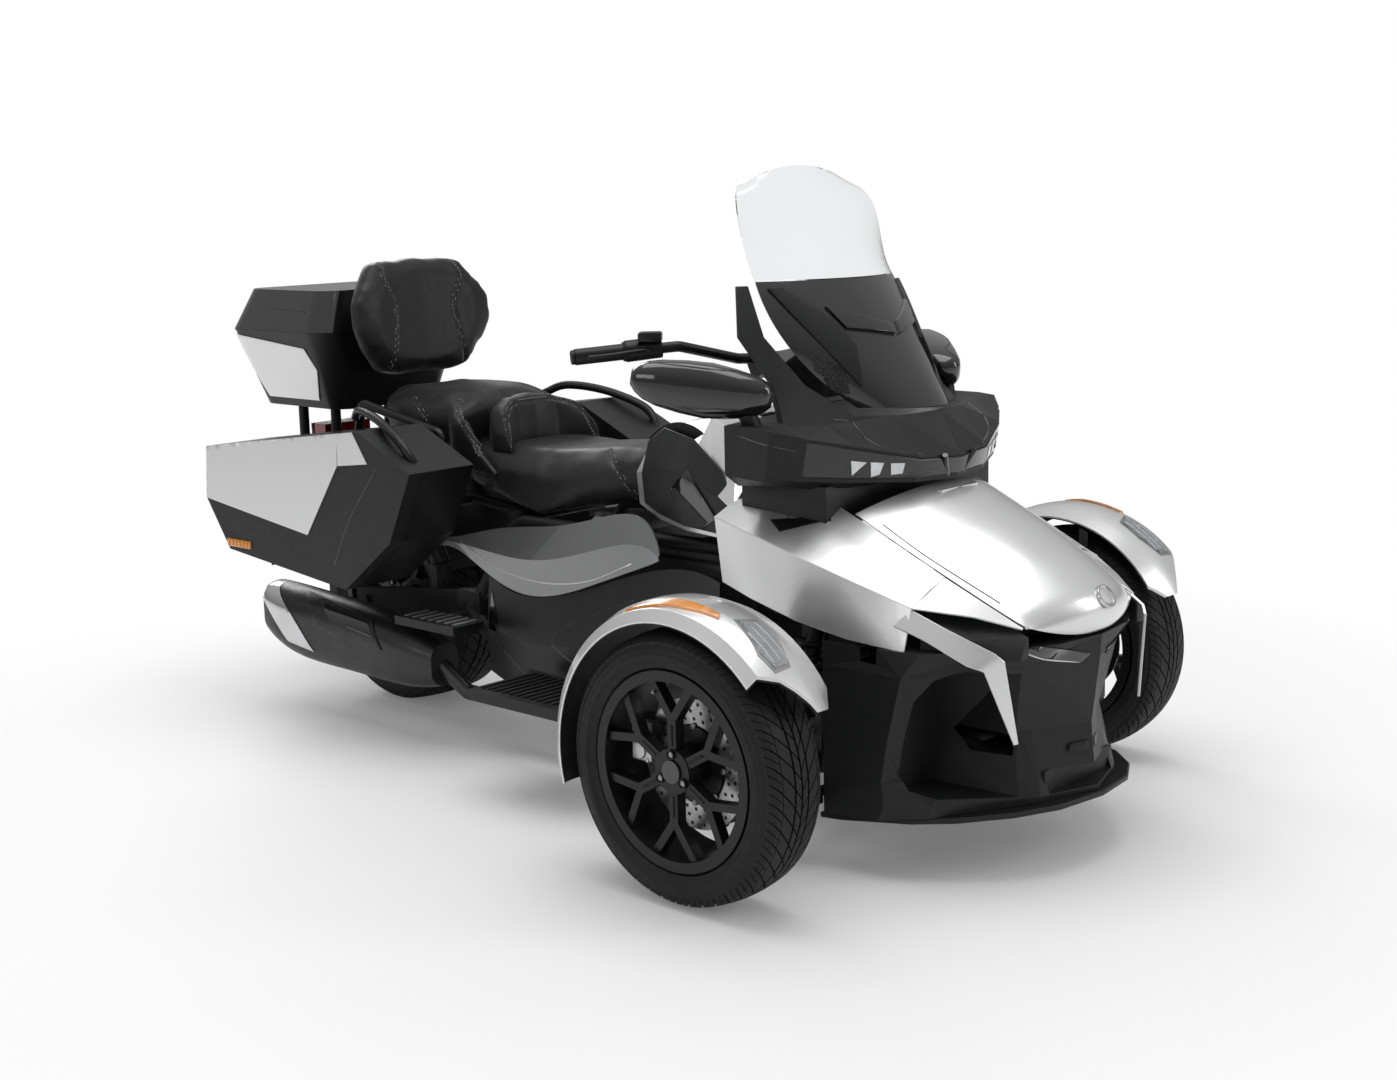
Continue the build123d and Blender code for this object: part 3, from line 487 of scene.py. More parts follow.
def evaluatedMesh(source):
    depsgraph = bpy.context.evaluated_depsgraph_get()
    return bpy.data.meshes.new_from_object(source.evaluated_get(depsgraph), depsgraph=depsgraph)


def evenOut(data, passes):
    bm = bmesh.new()
    bm.from_mesh(data)
    for _ in range(passes):
        bmesh.ops.smooth_vert(bm, verts=bm.verts, factor=0.5, use_axis_x=True, use_axis_y=True,
                              use_axis_z=True)
    bm.to_mesh(data)
    bm.free()


def makePad(name, node, shape, voxel, cap, rounding):
    # a lofted pad, remeshed, rounded and puffed up by its own pressure
    bm = bmesh.new()
    shape(bm)
    bmesh.ops.recalc_face_normals(bm, faces=bm.faces)
    pad = toObject(name, bm)
    remesh = pad.modifiers.new("voxels", "REMESH")
    remesh.mode, remesh.voxel_size = "VOXEL", voxel
    data = evaluatedMesh(pad)
    pad.modifiers.clear()
    low = Vector(min(v.co[i] for v in data.vertices) for i in range(3))
    high = Vector(max(v.co[i] for v in data.vertices) for i in range(3))
    evenOut(data, rounding)
    pad.data = data
    puffUp(pad, cap, low, high)
    for polygon in pad.data.polygons:
        polygon.use_smooth = True
    pad.data.materials.clear()
    pad.data.materials.append(finishes["leather"])
    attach(pad, "chassis")
    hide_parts(node)
    return pad


def puffUp(pad, cap, low, high):
    start = [v.co.copy() for v in pad.data.vertices]
    cloth = pad.modifiers.new("puff", "CLOTH")
    cloth.settings.use_pressure = True
    cloth.settings.uniform_pressure_force = padFold["pressure"]
    cloth.settings.effector_weights.gravity = 0
    cloth.settings.tension_stiffness = cloth.settings.compression_stiffness = padFold["stiffness"]
    cloth.settings.bending_stiffness = padFold["bending"]
    cloth.point_cache.frame_end = padFold["frames"]
    for frameNumber in range(1, padFold["frames"] + 1):
        scene.frame_set(frameNumber)
    puffed = evaluatedMesh(pad)
    pad.modifiers.clear()
    scene.frame_set(1)
    for vert, place in zip(puffed.vertices, start):
        move = vert.co - place
        if move.length > cap:
            move = move.normalized() * cap
        vert.co = Vector(min(max(place[i] + move[i], low[i]), high[i]) for i in range(3))
    evenOut(puffed, padFold["smoothing"])
    pad.data = puffed


def pressSeam(pad, corners, direction, width, depth):
    # the pad's surface is pulled in along a seam
    points = [onSurface(pad.name, p, direction, 0.15)[0] for p in smoothPath(corners, 10)]
    for vert in pad.data.vertices:
        best = 1.0
        for a, b in zip(points, points[1:]):
            if abs(vert.co.x - a.x) + abs(vert.co.y - a.y) + abs(vert.co.z - a.z) > 0.12:
                continue
            along = b - a
            t = min(1, max(0, (vert.co - a).dot(along) / max(1e-9, along.length_squared)))
            best = min(best, (vert.co - a - along * t).length)
        if best < width:
            vert.co -= vert.normal * depth * (1 - best / width) ** 1.5


def riderShape(bm):
    # a dished top with skirts that hang outside the frame
    rows = [(214, 792, 92, 128, 668, 112), (60, 772, 118, 164, 640, 146), (-110, 756, 138, 182, 606, 162),
            (rearAxle + 560, 758, 144, 178, 640, 156), (rearAxle + 436, 762, 144, 174, 668, 150)]
    stations = []
    for x, top, topHalf, sideHalf, low, innerHalf in rows:
        right = [(-topHalf, top), (-sideHalf, top - 22), (-sideHalf - 4, (top + low) / 2), (-sideHalf, low),
                 (-innerHalf, low), (-innerHalf, max(low + 24, 652))]
        stations.append((x, bothSides(right)))
    alongLoft(bm, stations)


def riderBackShape(bm):
    # a kidney pad that wraps forward at both ends
    rows = ((0, 528, 752, 494, 886, 450, 890, 442), (72, 536, 752, 506, 880, 458, 880, 450),
            (136, 572, 752, 552, 856, 492, 860, 484), (160, 606, 752, 590, 800, 532, 806, 524))
    acrossLoft(bm, [(y, [(rearAxle + x, z) for x, z in ((a, low), (b, topA), (c, topB), (d, low))])
                    for y, a, low, b, topA, c, topB, d in rows])


def passengerShape(bm):
    # the raised passenger seat, with horns that run forward beside the rider's seat
    stations = []
    for back, top, topHalf, sideHalf, low in ((432, 872, 120, 188, 742), (330, 886, 140, 194, 744),
                                              (180, 894, 134, 188, 748), (86, 898, 108, 156, 770)):
        right = [(-topHalf, top), (-sideHalf, top - 30), (-sideHalf - 4, (top + low) / 2),
                 (-sideHalf + 8, low)]
        stations.append((rearAxle + back, bothSides(right)))
    alongLoft(bm, stations)
    horn = [(400, 742), (400, 842), (470, 836), (528, 760), (596, 702), (560, 692), (450, 706)]
    for side in (1, -1):
        acrossLoft(bm, [(y * side, [(rearAxle + x, z) for x, z in horn]) for y in (178, 204)], False)


def passengerBackShape(bm):
    # tall, waisted low down and winged at the top
    rows = ((0, 86, 920, 48, 1238, -8, 1234, 26, 916), (90, 90, 922, 54, 1234, -2, 1228, 30, 918),
            (150, 94, 934, 68, 1226, 10, 1220, 36, 930), (200, 104, 1002, 92, 1164, 40, 1158, 50, 998),
            (232, 104, 1058, 98, 1120, 66, 1116, 70, 1054))
    acrossLoft(bm, [(row[0], [(rearAxle + row[i], row[i + 1]) for i in (1, 3, 5, 7)]) for row in rows])


seats = {
    # CAD node, shape, voxel, most that it puffs up, rounding passes
    "riderPad": ("rider_seat", riderShape, 0.007, 0.014, 5),
    "riderBackPad": ("rider_backrest", riderBackShape, 0.0055, 0.016, 6),
    "passengerPad": ("passenger_seat", passengerShape, 0.007, 0.014, 5),
    "passengerBackPad": ("passenger_backrest", passengerBackShape, 0.006, 0.016, 4)}
pads = {}
for name, (node, shape, voxel, cap, rounding) in seats.items():
    pads[name] = makePad(name, node, shape, voxel, cap, rounding)
    print(name, len(pads[name].data.vertices))

seams = [
    # pad, corners, seen along
    ("passengerBackPad", [(-0.783, 0.118, 1.226), (-0.765, 0.132, 1.180), (-0.758, 0.104, 1.115),
                          (-0.750, 0.106, 1.060), (-0.741, 0.118, 0.990), (-0.735, 0.132, 0.944)],
     (-1, 0, 0)),
    ("passengerPad", [(-0.446, 0.139, 0.880), (-0.411, 0.177, 0.852), (-0.359, 0.198, 0.816),
                      (-0.326, 0.203, 0.787), (-0.300, 0.203, 0.765)], (0, -0.8, -0.6)),
    ("passengerPad", [(-0.600, 0.170, 0.876), (-0.542, 0.192, 0.846), (-0.516, 0.196, 0.825),
                      (-0.550, 0.194, 0.796)], (0, -0.9, -0.4)),
    ("riderBackPad", [(-0.226, 0.150, 0.772), (-0.258, 0.128, 0.842), (-0.300, 0.076, 0.868),
                      (-0.312, 0, 0.872)], (-1, 0, -0.2)),
    ("riderPad", [(0.079, 0.070, 0.770), (0.150, 0.118, 0.720), (0.190, 0.130, 0.672)], (0, -1, -0.3)),
]
stitches = bmesh.new()
for padName, corners, direction in seams:
    for side in (-1, 1):
        twin = ofSide(corners, side)
        facing = Vector(direction) * Vector((1, -side, 1))
        pressSeam(pads[padName], twin, facing, padFold["seamWidth"], padFold["seamDepth"])
        surfaceTrees.pop(padName, None)
        for offset in (-padFold["rowOffset"], padFold["rowOffset"]):
            stitchRow(stitches, padName, twin, facing, offset)
piece("seatStitching", stitches, "threadGrey", "chassis")
for pad in pads.values():
    refine = pad.modifiers.new("refine", "SUBSURF")
    refine.levels = refine.render_levels = 1
print("seats done")


def finishBody(name, bm, material, body, node, bevel, crease, cutters=()):
    # normals, cuts, then a small edge radius by modifier
    tidyMesh(bm)
    made = piece(name, bm, material, body, crease)
    for cutter in cutters:
        cutAway(made, cutter)
    if cutters:
        for polygon in made.data.polygons:
            polygon.use_smooth = False
    if bevel:
        softener = made.modifiers.new("edgeRadius", "BEVEL")
        softener.width, softener.segments, softener.limit_method = bevel, 2, "ANGLE"
        softener.angle_limit = math.radians(24)
    if node:
        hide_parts(node)


def cutAway(target, shape):
    bm = bmesh.new()
    shape(bm)
    tidyMesh(bm)
    tool = toObject("cutter", bm)
    cut = target.modifiers.new("cut", "BOOLEAN")
    cut.operation, cut.object, cut.solver = "DIFFERENCE", tool, "EXACT"
    shaped = evaluatedMesh(target)
    target.modifiers.clear()
    target.data = shaped
    bpy.data.objects.remove(tool)


# the beak is its tip, then a point on its outer and on its inner cut, all from the hub
fender = {"radius": 0.314, "wall": 0.004, "half": 0.0825, "start": 27, "end": 195, "steps": 40,
          "beak": ((0.313, -0.042), (0.190, 0.1225), (0.240, -0.1225)), "beakFrom": (0.95, 0.33)}


def aroundHub(centre, radius, angle, y=0.0):
    return Vector(centre) + Vector((radius * math.cos(angle), y, radius * math.sin(angle)))


def makeFender(label, side, settings):
    # a crowned shell with an outer lip and a pointed beak, over a dark liner
    centre = Vector((frontHub["x"], frontHub["y"] * side, frontHub["z"]))
    low, half = settings["radius"], settings["half"]
    rows = [(low + 0.004, -half - 0.015), (low + 0.018, -half + 0.020), (low + 0.025, -0.040),
            (low + 0.027, -0.014), (low + 0.0265, 0.012), (low + 0.025, 0.034), (low + 0.012, half - 0.014),
            (low - 0.010, half + 0.002)]
    beak, outer, inner = (Vector((frontHub["x"] + x, (frontHub["y"] + y) * side, 0))
                          for x, y in settings["beak"])
    for name, material, slotName, inset, wall in (
            ("frontFender", "silverPaint", "silver_paint", 0.0, settings["wall"]),
            ("fenderLiner", "darkPlastic", "black_plastic", settings["wall"] + 0.0004, 0.0022)):
        bm = bmesh.new()
        loop = [(r - inset, y) for r, y in rows] + [(r - inset - wall, y) for r, y in reversed(rows)]
        start = math.radians(settings["start"])
        verts, edges = closedLoop(bm, [aroundHub(centre, r, start, y * side) for r, y in loop])
        cap = bm.faces.new(verts)
        sweep = math.radians(settings["end"] - settings["start"])
        bmesh.ops.spin(bm, geom=[*verts, *edges, cap], cent=centre, axis=(0, -1, 0), angle=sweep,
                       steps=settings["steps"])
        frontX, frontZ = settings["beakFrom"]
        for away in (outer, inner):
            along = (beak - away).normalized()
            normal = Vector((along.y, -along.x, 0))
            if normal.x < 0:
                normal = -normal
            front = [v for v in bm.verts if v.co.x > frontX and v.co.z > frontZ]
            faces = once(f for v in front for f in v.link_faces)
            edges = once(e for f in faces for e in f.edges)
            corners = once(v for f in faces for v in f.verts)
            cut = bmesh.ops.bisect_plane(bm, geom=[*corners, *edges, *faces], plane_co=away, plane_no=normal,
                                         dist=0.00001, clear_outer=True)
            rim = [g for g in cut["geom_cut"] if isinstance(g, bmesh.types.BMEdge) and g.is_valid]
            bmesh.ops.contextual_create(bm, geom=rim)
        bmesh.ops.holes_fill(bm, edges=[e for e in bm.edges if e.is_boundary], sides=0)
        finishBody(name + label, bm, material, label.lower() + "_knuckle",
                   "front_fender_" + label.lower() if inset == 0 else None, 0.0016, 30)


for label, side in sides:
    makeFender(label, side, fender)

mirrorPod = {"inner": (0.778, 0.312, 0.962), "outer": (0.548, 0.500, 1.016), "corners": 28,
             "rows": ((0, 38, 38, 6), (0.04, 62, 62, 5), (0.12, 80, 86, 3), (0.28, 90, 106, 1),
                      (0.45, 96, 118, 0), (0.63, 92, 112, 0), (0.8, 84, 98, 0), (0.9, 72, 80, 1),
                      (0.96, 54, 58, 2), (1, 30, 32, 3)),
             "face": ((0.20, -30), (0.80, -26), (0.88, 0), (0.80, 32), (0.24, 38), (0.13, 4))}


def podEnds(settings, side):
    return (Vector(settings[end]) * Vector((1, side, 1)) for end in ("inner", "outer"))


def makePods(settings):
    # both mirror housings: blunt inside, deep in the middle, tapered to the outer end
    bm = bmesh.new()
    for side in (1, -1):
        inner, outer = podEnds(settings, side)
        along = (outer - inner).normalized()
        across = Vector((0, 0, 1)).cross(along).normalized()
        up = along.cross(across)
        stations = []
        for share, width, height, rise in settings["rows"]:
            middle = inner + (outer - inner) * share + Vector((0, 0, rise / 1000))
            loop = []
            for index in range(settings["corners"]):
                angle = math.tau * index / settings["corners"]
                c, s = math.cos(angle), math.sin(angle)
                loop.append(middle + across * (math.copysign(abs(c) ** 0.7, c) * width / 2000)
                            + up * (math.copysign(abs(s) ** 0.7, s) * height / 2000))
            stations.append(loop)
        addLoft(bm, stations)
    finishBody("mirrorHousings", bm, "glossBlack", "chassis", "mirror_pods", 0, 50)


makePods(mirrorPod)

fairingRows = [
    # y, then brow, lamp foot, floor front, floor rear, deck rear, deck front
    (0, (1036, 836), (1028, 784), (975, 782), (700, 762), (700, 930), (985, 926)),
    (120, (1018, 842), (1008, 786), (950, 782), (700, 762), (700, 926), (948, 922)),
    (260, (955, 874), (942, 796), (890, 776), (700, 766), (700, 918), (880, 914)),
    (345, (898, 894), (882, 804), (845, 790), (705, 780), (705, 916), (832, 912)),
    (402, (846, 912), (832, 816), (806, 806), (720, 812), (720, 916), (802, 916))]


# the wings beside the screen and the posts of the mirror housings
wingLevels = ((905, ((905, 150), (808, 312), (786, 305), (880, 140))),
              (990, ((802, 234), (746, 274), (728, 265), (780, 224))),
              (1090, ((714, 262), (676, 300), (662, 292), (697, 252))),
              (1196, ((656, 245), (640, 266), (630, 259), (645, 238))))
podPost = {"ends": ((0.752, 0.345, 0.905), (0.738, 0.356, 0.95)), "radius": 0.02}


def lampBand(bm, margin=0.0):
    # the dark glass band under the brow
    half = []
    for y, brow, foot, *_ in fairingRows[:-1]:
        top, low = brow[1] - 7 + margin, foot[1] + 9 - margin
        half.append((y + (margin if y == 345 else 0),
                     [(brow[0] + 3, top), (foot[0] + 3, low), (foot[0] - 26 - margin, low),
                      (brow[0] - 26 - margin, top)]))
    acrossLoft(bm, half)


def fairingHollow(bm):
    half = []
    for y, brow, foot, floorFront, floorRear, deckRear, deckFront in fairingRows:
        half.append((min(y, 388), [
            (brow[0] - 40, brow[1] - 8), (foot[0] - 40, foot[1] + 8),
            (floorFront[0] - 22, floorFront[1] + 8), (floorRear[0] - 16, floorRear[1] + 8),
            (deckRear[0] - 16, deckRear[1] - 8), (deckFront[0] - 8, deckFront[1] - 8)]))
    acrossLoft(bm, half)


def makeFairing():
    bm = bmesh.new()
    acrossLoft(bm, [(row[0], list(row[1:])) for row in fairingRows])
    finishBody("fairingShell", bm, "mattPlastic", "chassis", "upper_fairing", 0.004, 24,
               [fairingHollow, lambda tool: lampBand(tool, 0.4)])
    bm = bmesh.new()
    for side in (1, -1):
        levelLoft(bm, [(z, [(x, y * side) for x, y in points]) for z, points in wingLevels])
        (footX, footY, footZ), (topX, topY, topZ) = podPost["ends"]
        addRod(bm, (footX, footY * side, footZ), (topX, topY * side, topZ), podPost["radius"], bevel=0.002)
    finishBody("screenWings", bm, "mattPlastic", "chassis", None, 0.004, 24)
    bm = bmesh.new()
    lampBand(bm)
    finishBody("lampBar", bm, "smokedLens", "chassis", "headlamp_bar", 0.002, 24)


makeFairing()


# dark skirts that close the gap between the fairing and the fixed deck below it
neck = {"bevel": 0.0015, "panels": (((0.903, 0, 0.744), (0.005, 0.590, 0.088)),
                                    ((0.788, 0.294, 0.744), (0.232, 0.005, 0.088)))}


def makePanels(name, settings):
    # thin dark panels, the ones off the middle on both sides
    bm = bmesh.new()
    for (x, y, z), size in settings["panels"]:
        for side in (1, -1) if y else (1,):
            addBox(bm, (x, y * side, z), size, bevel=settings["bevel"])
    piece(name, bm, "darkPlastic", "chassis")


makePanels("fairingNeck", neck)

noseBase = {"rear": 974, "half": 402, "slope": 5, "under": (0.95, 0, 0.1185)}
# z, then x and y of the widest place, the corner and the chin, and x of the front
noseLevels = ((119, 1106, 389, 1192, 344, 1332, 147, 1384), (166, 1125, 390, 1206, 335, 1338, 142, 1386),
              (215, 1122, 394, 1215, 315, 1322, 134, 1376), (300, 1138, 396, 1226, 280, 1304, 128, 1368),
              (440, 1172, 392, 1264, 300, 1330, 152, 1386), (490, 1205, 376, 1300, 262, 1372, 130, 1390))
mouthRows = ((1440, ((152, 436), (300, 464), (352, 452), (382, 404), (385, 215), (372, 182), (330, 168),
                     (148, 162), (122, 290))),
             (1114, ((225, 420), (300, 440), (340, 425), (364, 385), (366, 228), (354, 200), (322, 186),
                     (225, 182), (196, 290))))
browRows = ((1176, ((226, 590), (330, 550), (340, 470), (226, 470))),
            (1262, ((224, 556), (280, 508), (302, 470), (224, 470))),
            (1350, ((206, 516), (230, 492), (234, 470), (206, 470))))


noseCuts = (((1.0, 0, 0.35), (0.212, 0.776, 0.58)), ((1.10, 0, 0.445), (0.372, 0.374, 0.39)),
            ((1.109, 0, 0.212), (0.418, 0.22, 0.08)), ((1.40, 0, 0.191), (0.156, 0.236, 0.046)))


def boxCuts(rows):
    # a cutter for each centre and size
    return [lambda tool, row=row: addBox(tool, *row) for row in rows]


def sideLoft(bm, rows, side):
    alongLoft(bm, [(x, [(side * y, z) for y, z in points]) for x, points in rows])


def makeNose():
    # waisted chin, open intakes and the brow that carries the blade
    bm = bmesh.new()
    rear, half = noseBase["rear"], noseBase["half"]
    levels = []
    for z, sideX, sideY, cornerX, cornerY, chinX, chinY, front in noseLevels:
        right = [(rear, -half + 6), (sideX, -sideY), (cornerX, -cornerY), (chinX, -chinY), (front, 0)]
        levels.append((z, right + [(x, -y) for x, y in reversed(right[:-1])]))
    levelLoft(bm, levels)
    slope = math.radians(noseBase["slope"])
    bmesh.ops.bisect_plane(bm, geom=[*bm.verts, *bm.edges, *bm.faces], plane_co=noseBase["under"],
                           plane_no=(-math.sin(slope), 0, math.cos(slope)), dist=0.00001, clear_inner=True)
    bmesh.ops.holes_fill(bm, edges=[e for e in bm.edges if e.is_boundary], sides=0)
    mouths = [lambda tool: sideLoft(tool, mouthRows, -1), lambda tool: sideLoft(tool, mouthRows, 1)]
    finishBody("noseShell", bm, "mattPlastic", "chassis", "nose_fascia", 0.004, 24,
               mouths + boxCuts(noseCuts))
    bm = bmesh.new()
    for side in (-1, 1):
        sideLoft(bm, browRows, side)
    finishBody("noseBrow", bm, "mattPlastic", "chassis", None, 0.003, 24)


makeNose()

shoulderRows = [
    # x, hood edge (y, z), crease (y, z), lower edge (y, z)
    (640, (245, 742), (352, 708), (330, 560)), (760, (245, 742), (368, 684), (372, 545)),
    (900, (245, 742), (382, 654), (392, 520)), (1030, (241, 684), (376, 620), (390, 500)),
    (1165, (231, 618), (346, 574), (372, 487))]
shoulderTip = [((1162, 231, 618.5), (1162, 346, 574)), ((1262, 219, 570), (1262, 270, 556)),
               ((1338, 209, 533), (1338, 214, 531))]


def bridgeRows(bm, rows, side):
    # a skin through rows of points in millimetres on one side, each row bridged to the next
    chains = []
    for row in rows:
        verts = [bm.verts.new(p) for p in inMetres((x, y * side, z) for x, y, z in row)]
        chains.append([bm.edges.new(pair) for pair in zip(verts, verts[1:])])
    for near, far in zip(chains, chains[1:]):
        bmesh.ops.bridge_loops(bm, edges=near + far)


def makeShoulders():
    # the silver shoulders beside the hood, each with its pointed tip
    bm = bmesh.new()
    rows = []
    for x, edge, crease, low in shoulderRows:
        between = ((edge[0] + crease[0]) / 2, (edge[1] + crease[1]) / 2 + 5)
        rows.append([(x, y, z) for y, z in (edge, between, crease, low)])
    for side in (1, -1):
        bridgeRows(bm, rows, side)
        bridgeRows(bm, shoulderTip, side)
    bmesh.ops.remove_doubles(bm, verts=bm.verts, dist=0.001)
    bmesh.ops.recalc_face_normals(bm, faces=bm.faces)
    for face in bm.faces:
        if face.normal.z < 0 and abs(face.normal.z) > 0.2:
            face.normal_flip()
        elif abs(face.normal.z) <= 0.2 and face.normal.y * face.calc_center_median().y < 0:
            face.normal_flip()
    bmesh.ops.subdivide_edges(bm, edges=bm.edges, cuts=3, use_grid_fill=True)
    bmesh.ops.solidify(bm, geom=bm.faces, thickness=0.004)
    finishBody("shoulders", bm, "silverPaint", "chassis", "shoulder_panels", 0.0014, 30)


makeShoulders()

bladeRows = [((1160, 344, 572), (1140, 374, 540)), ((1222, 319, 539), (1198, 352, 514)),
             ((1322, 284, 493), (1280, 322, 468)), ((1336, 270, 476), (1308, 302, 456)),
             ((1345, 233, 300), (1338, 241, 298))]


def makeBlades():
    # the bright blade out of the shoulder, round the knee and down to a point
    for label, side in sides:
        bm = bmesh.new()
        bridgeRows(bm, bladeRows, side)
        bmesh.ops.recalc_face_normals(bm, faces=bm.faces)
        bmesh.ops.solidify(bm, geom=bm.faces, thickness=0.007)
        finishBody("blade" + label, bm, "silverPaint", "chassis", None, 0.0016, 24)


makeBlades()

lip = {"rear": 950, "low": 118, "slope": 5, "thick": 12,
       "outer": [(6, 388), (60, 388), (215, 352), (295, 308), (380, 222), (430, 130), (450, 0)],
       "inner": [(6, 345), (80, 320), (200, 250), (250, 150), (262, 0)]}


def makeLip(settings):
    # the thin lip under the nose, rising to the front, with its ends turned up
    outer, inner = settings["outer"], settings["inner"]
    points = outer + [(x, -y) for x, y in reversed(outer[:-1])] + [(x, -y) for x, y in inner]
    points += [(x, y) for x, y in reversed(inner[:-1])]
    bm = bmesh.new()
    flat = bm.faces.new([bm.verts.new((x / 1000, y / 1000, 0)) for x, y in points])
    raised = bmesh.ops.extrude_face_region(bm, geom=[flat])["geom"]
    bmesh.ops.translate(bm, verts=vertsOf(raised), vec=(0, 0, -settings["thick"] / 1000))
    slope = Matrix.Rotation(-math.radians(settings["slope"]), 3, "Y")
    bmesh.ops.rotate(bm, verts=bm.verts, cent=(0, 0, 0), matrix=slope)
    bmesh.ops.translate(bm, verts=bm.verts, vec=(settings["rear"] / 1000, 0, settings["low"] / 1000))
    finishBody("noseLip", bm, "mattPlastic", "chassis", "splitter_lip", 0.003, 24)


makeLip(lip)

consoleRows = [
    # x, top, half width of the top, widest half width and its z, lower half width and its z
    (215, 835, 100, 160, 745, 152, 668), (330, 878, 118, 208, 762, 200, 648),
    (450, 903, 148, 244, 770, 240, 640), (560, 878, 182, 270, 742, 262, 640),
    (640, 800, 224, 288, 722, 272, 650)]
consoleCuts = (((0.60, 0, 0.80), (0.20, 0.09, 0.4)), ((0.45, 0, 0.64), (0.52, 0.28, 0.10)))


def makeConsole(rows):
    # the silver saddle between the seat and the fairing, open below and at its middle
    bm = bmesh.new()
    for inset in (0, 5):
        stations = []
        for x, top, topHalf, wideHalf, wideZ, lowHalf, lowZ in rows:
            right = [(-topHalf + inset, top - 14 - inset), (-wideHalf + inset, wideZ),
                     (-lowHalf + inset, lowZ - inset)]
            stations.append((x, [(0, top - inset)] + bothSides(right)))
        if inset:
            ends = [(rows[0][0] + 5, stations[0][1]), (rows[-1][0] + 1, stations[-1][1])]
            hollow = ends[:1] + stations[1:-1] + ends[1:]
        else:
            alongLoft(bm, stations)
    cuts = [lambda tool: alongLoft(tool, hollow)] + boxCuts(consoleCuts)
    finishBody("consoleShell", bm, "silverPaint", "chassis", "console_cover", 0.003, 24, cuts)


makeConsole(consoleRows)

kneeRows = [(250, [(153, 822), (179, 748), (171, 676)]), (330, [(179, 862), (215, 768), (209, 664)]),
            (450, [(211, 848), (251, 772), (249, 652)]), (570, [(247, 790), (275, 738), (269, 650)]),
            (628, [(271, 722), (283, 712), (273, 664)])]


def makeKneePanels(rows):
    # gloss panels where the rider's knees rest
    bm = bmesh.new()
    for side in (1, -1):
        bridgeRows(bm, [[(x, y, z) for y, z in points] for x, points in rows], side)
    bmesh.ops.recalc_face_normals(bm, faces=bm.faces)
    for face in bm.faces:
        if face.normal.y * face.calc_center_median().y < 0:
            face.normal_flip()
    bmesh.ops.subdivide_edges(bm, edges=bm.edges, cuts=2, use_grid_fill=True)
    bmesh.ops.solidify(bm, geom=bm.faces, thickness=0.006)
    finishBody("kneePanels", bm, "mattPlastic", "chassis", None, 0.002, 24)


makeKneePanels(kneeRows)
print("bodywork done")


wheelPlaces = {
    # body, CAD tyre, centre, radius, width, outward
    "Left": ("left_wheel", "tyre_left", (frontHub["x"], frontHub["y"], frontHub["z"]), 0.281, 0.165, 1),
    "Right": ("right_wheel", "tyre_right", (frontHub["x"], -frontHub["y"], frontHub["z"]), 0.281, 0.165, -1),
    "Rear": ("rear_wheel", "tyre_rear", (rearAxle / 1000, 0.0, 0.303), 0.303, 0.225, -1)}
tread = {"depth": 0.0065, "blocks": 46, "groove": 0.0046, "sweep": 0.34, "sunk": 0.002}
# the crown is a gentle arc with a round shoulder beyond its edge
crown = {"edge": 0.024, "drop": 0.006, "shoulder": 0.019, "shoulderWidth": 0.020, "under": 0.0004}
wallFoot = 0.190
# the sidewall from bead to shoulder: what a radius is counted from, what is added, and how far in
tyreWall = (("hub", 0.1903, 0.023), ("hub", 0.2052, 0.022), ("hub", 0.2095, 0.0125), ("hub", 0.213, 0.0122),
            ("belly", -0.007, 0.0035), ("belly", -0.0045, 0.0014), ("belly", 0.006, 0.0012),
            ("belly", 0.0085, 0.0034), ("crown", -0.033, 0.0045), ("crown", -0.031, 0.0068),
            ("crown", -0.022, 0.009), ("crown", -0.0125, 0.0185))


def crownRadius(radius, half, offset):
    # the tyre's radius at an offset from its middle
    edge, offset = half - crown["edge"], abs(offset)
    drop = crown["drop"] * (offset / edge) ** 2
    if offset > edge:
        drop = crown["drop"] + crown["shoulder"] * ((offset - edge) / crown["shoulderWidth"]) ** 1.4
    return radius - drop - crown["under"]


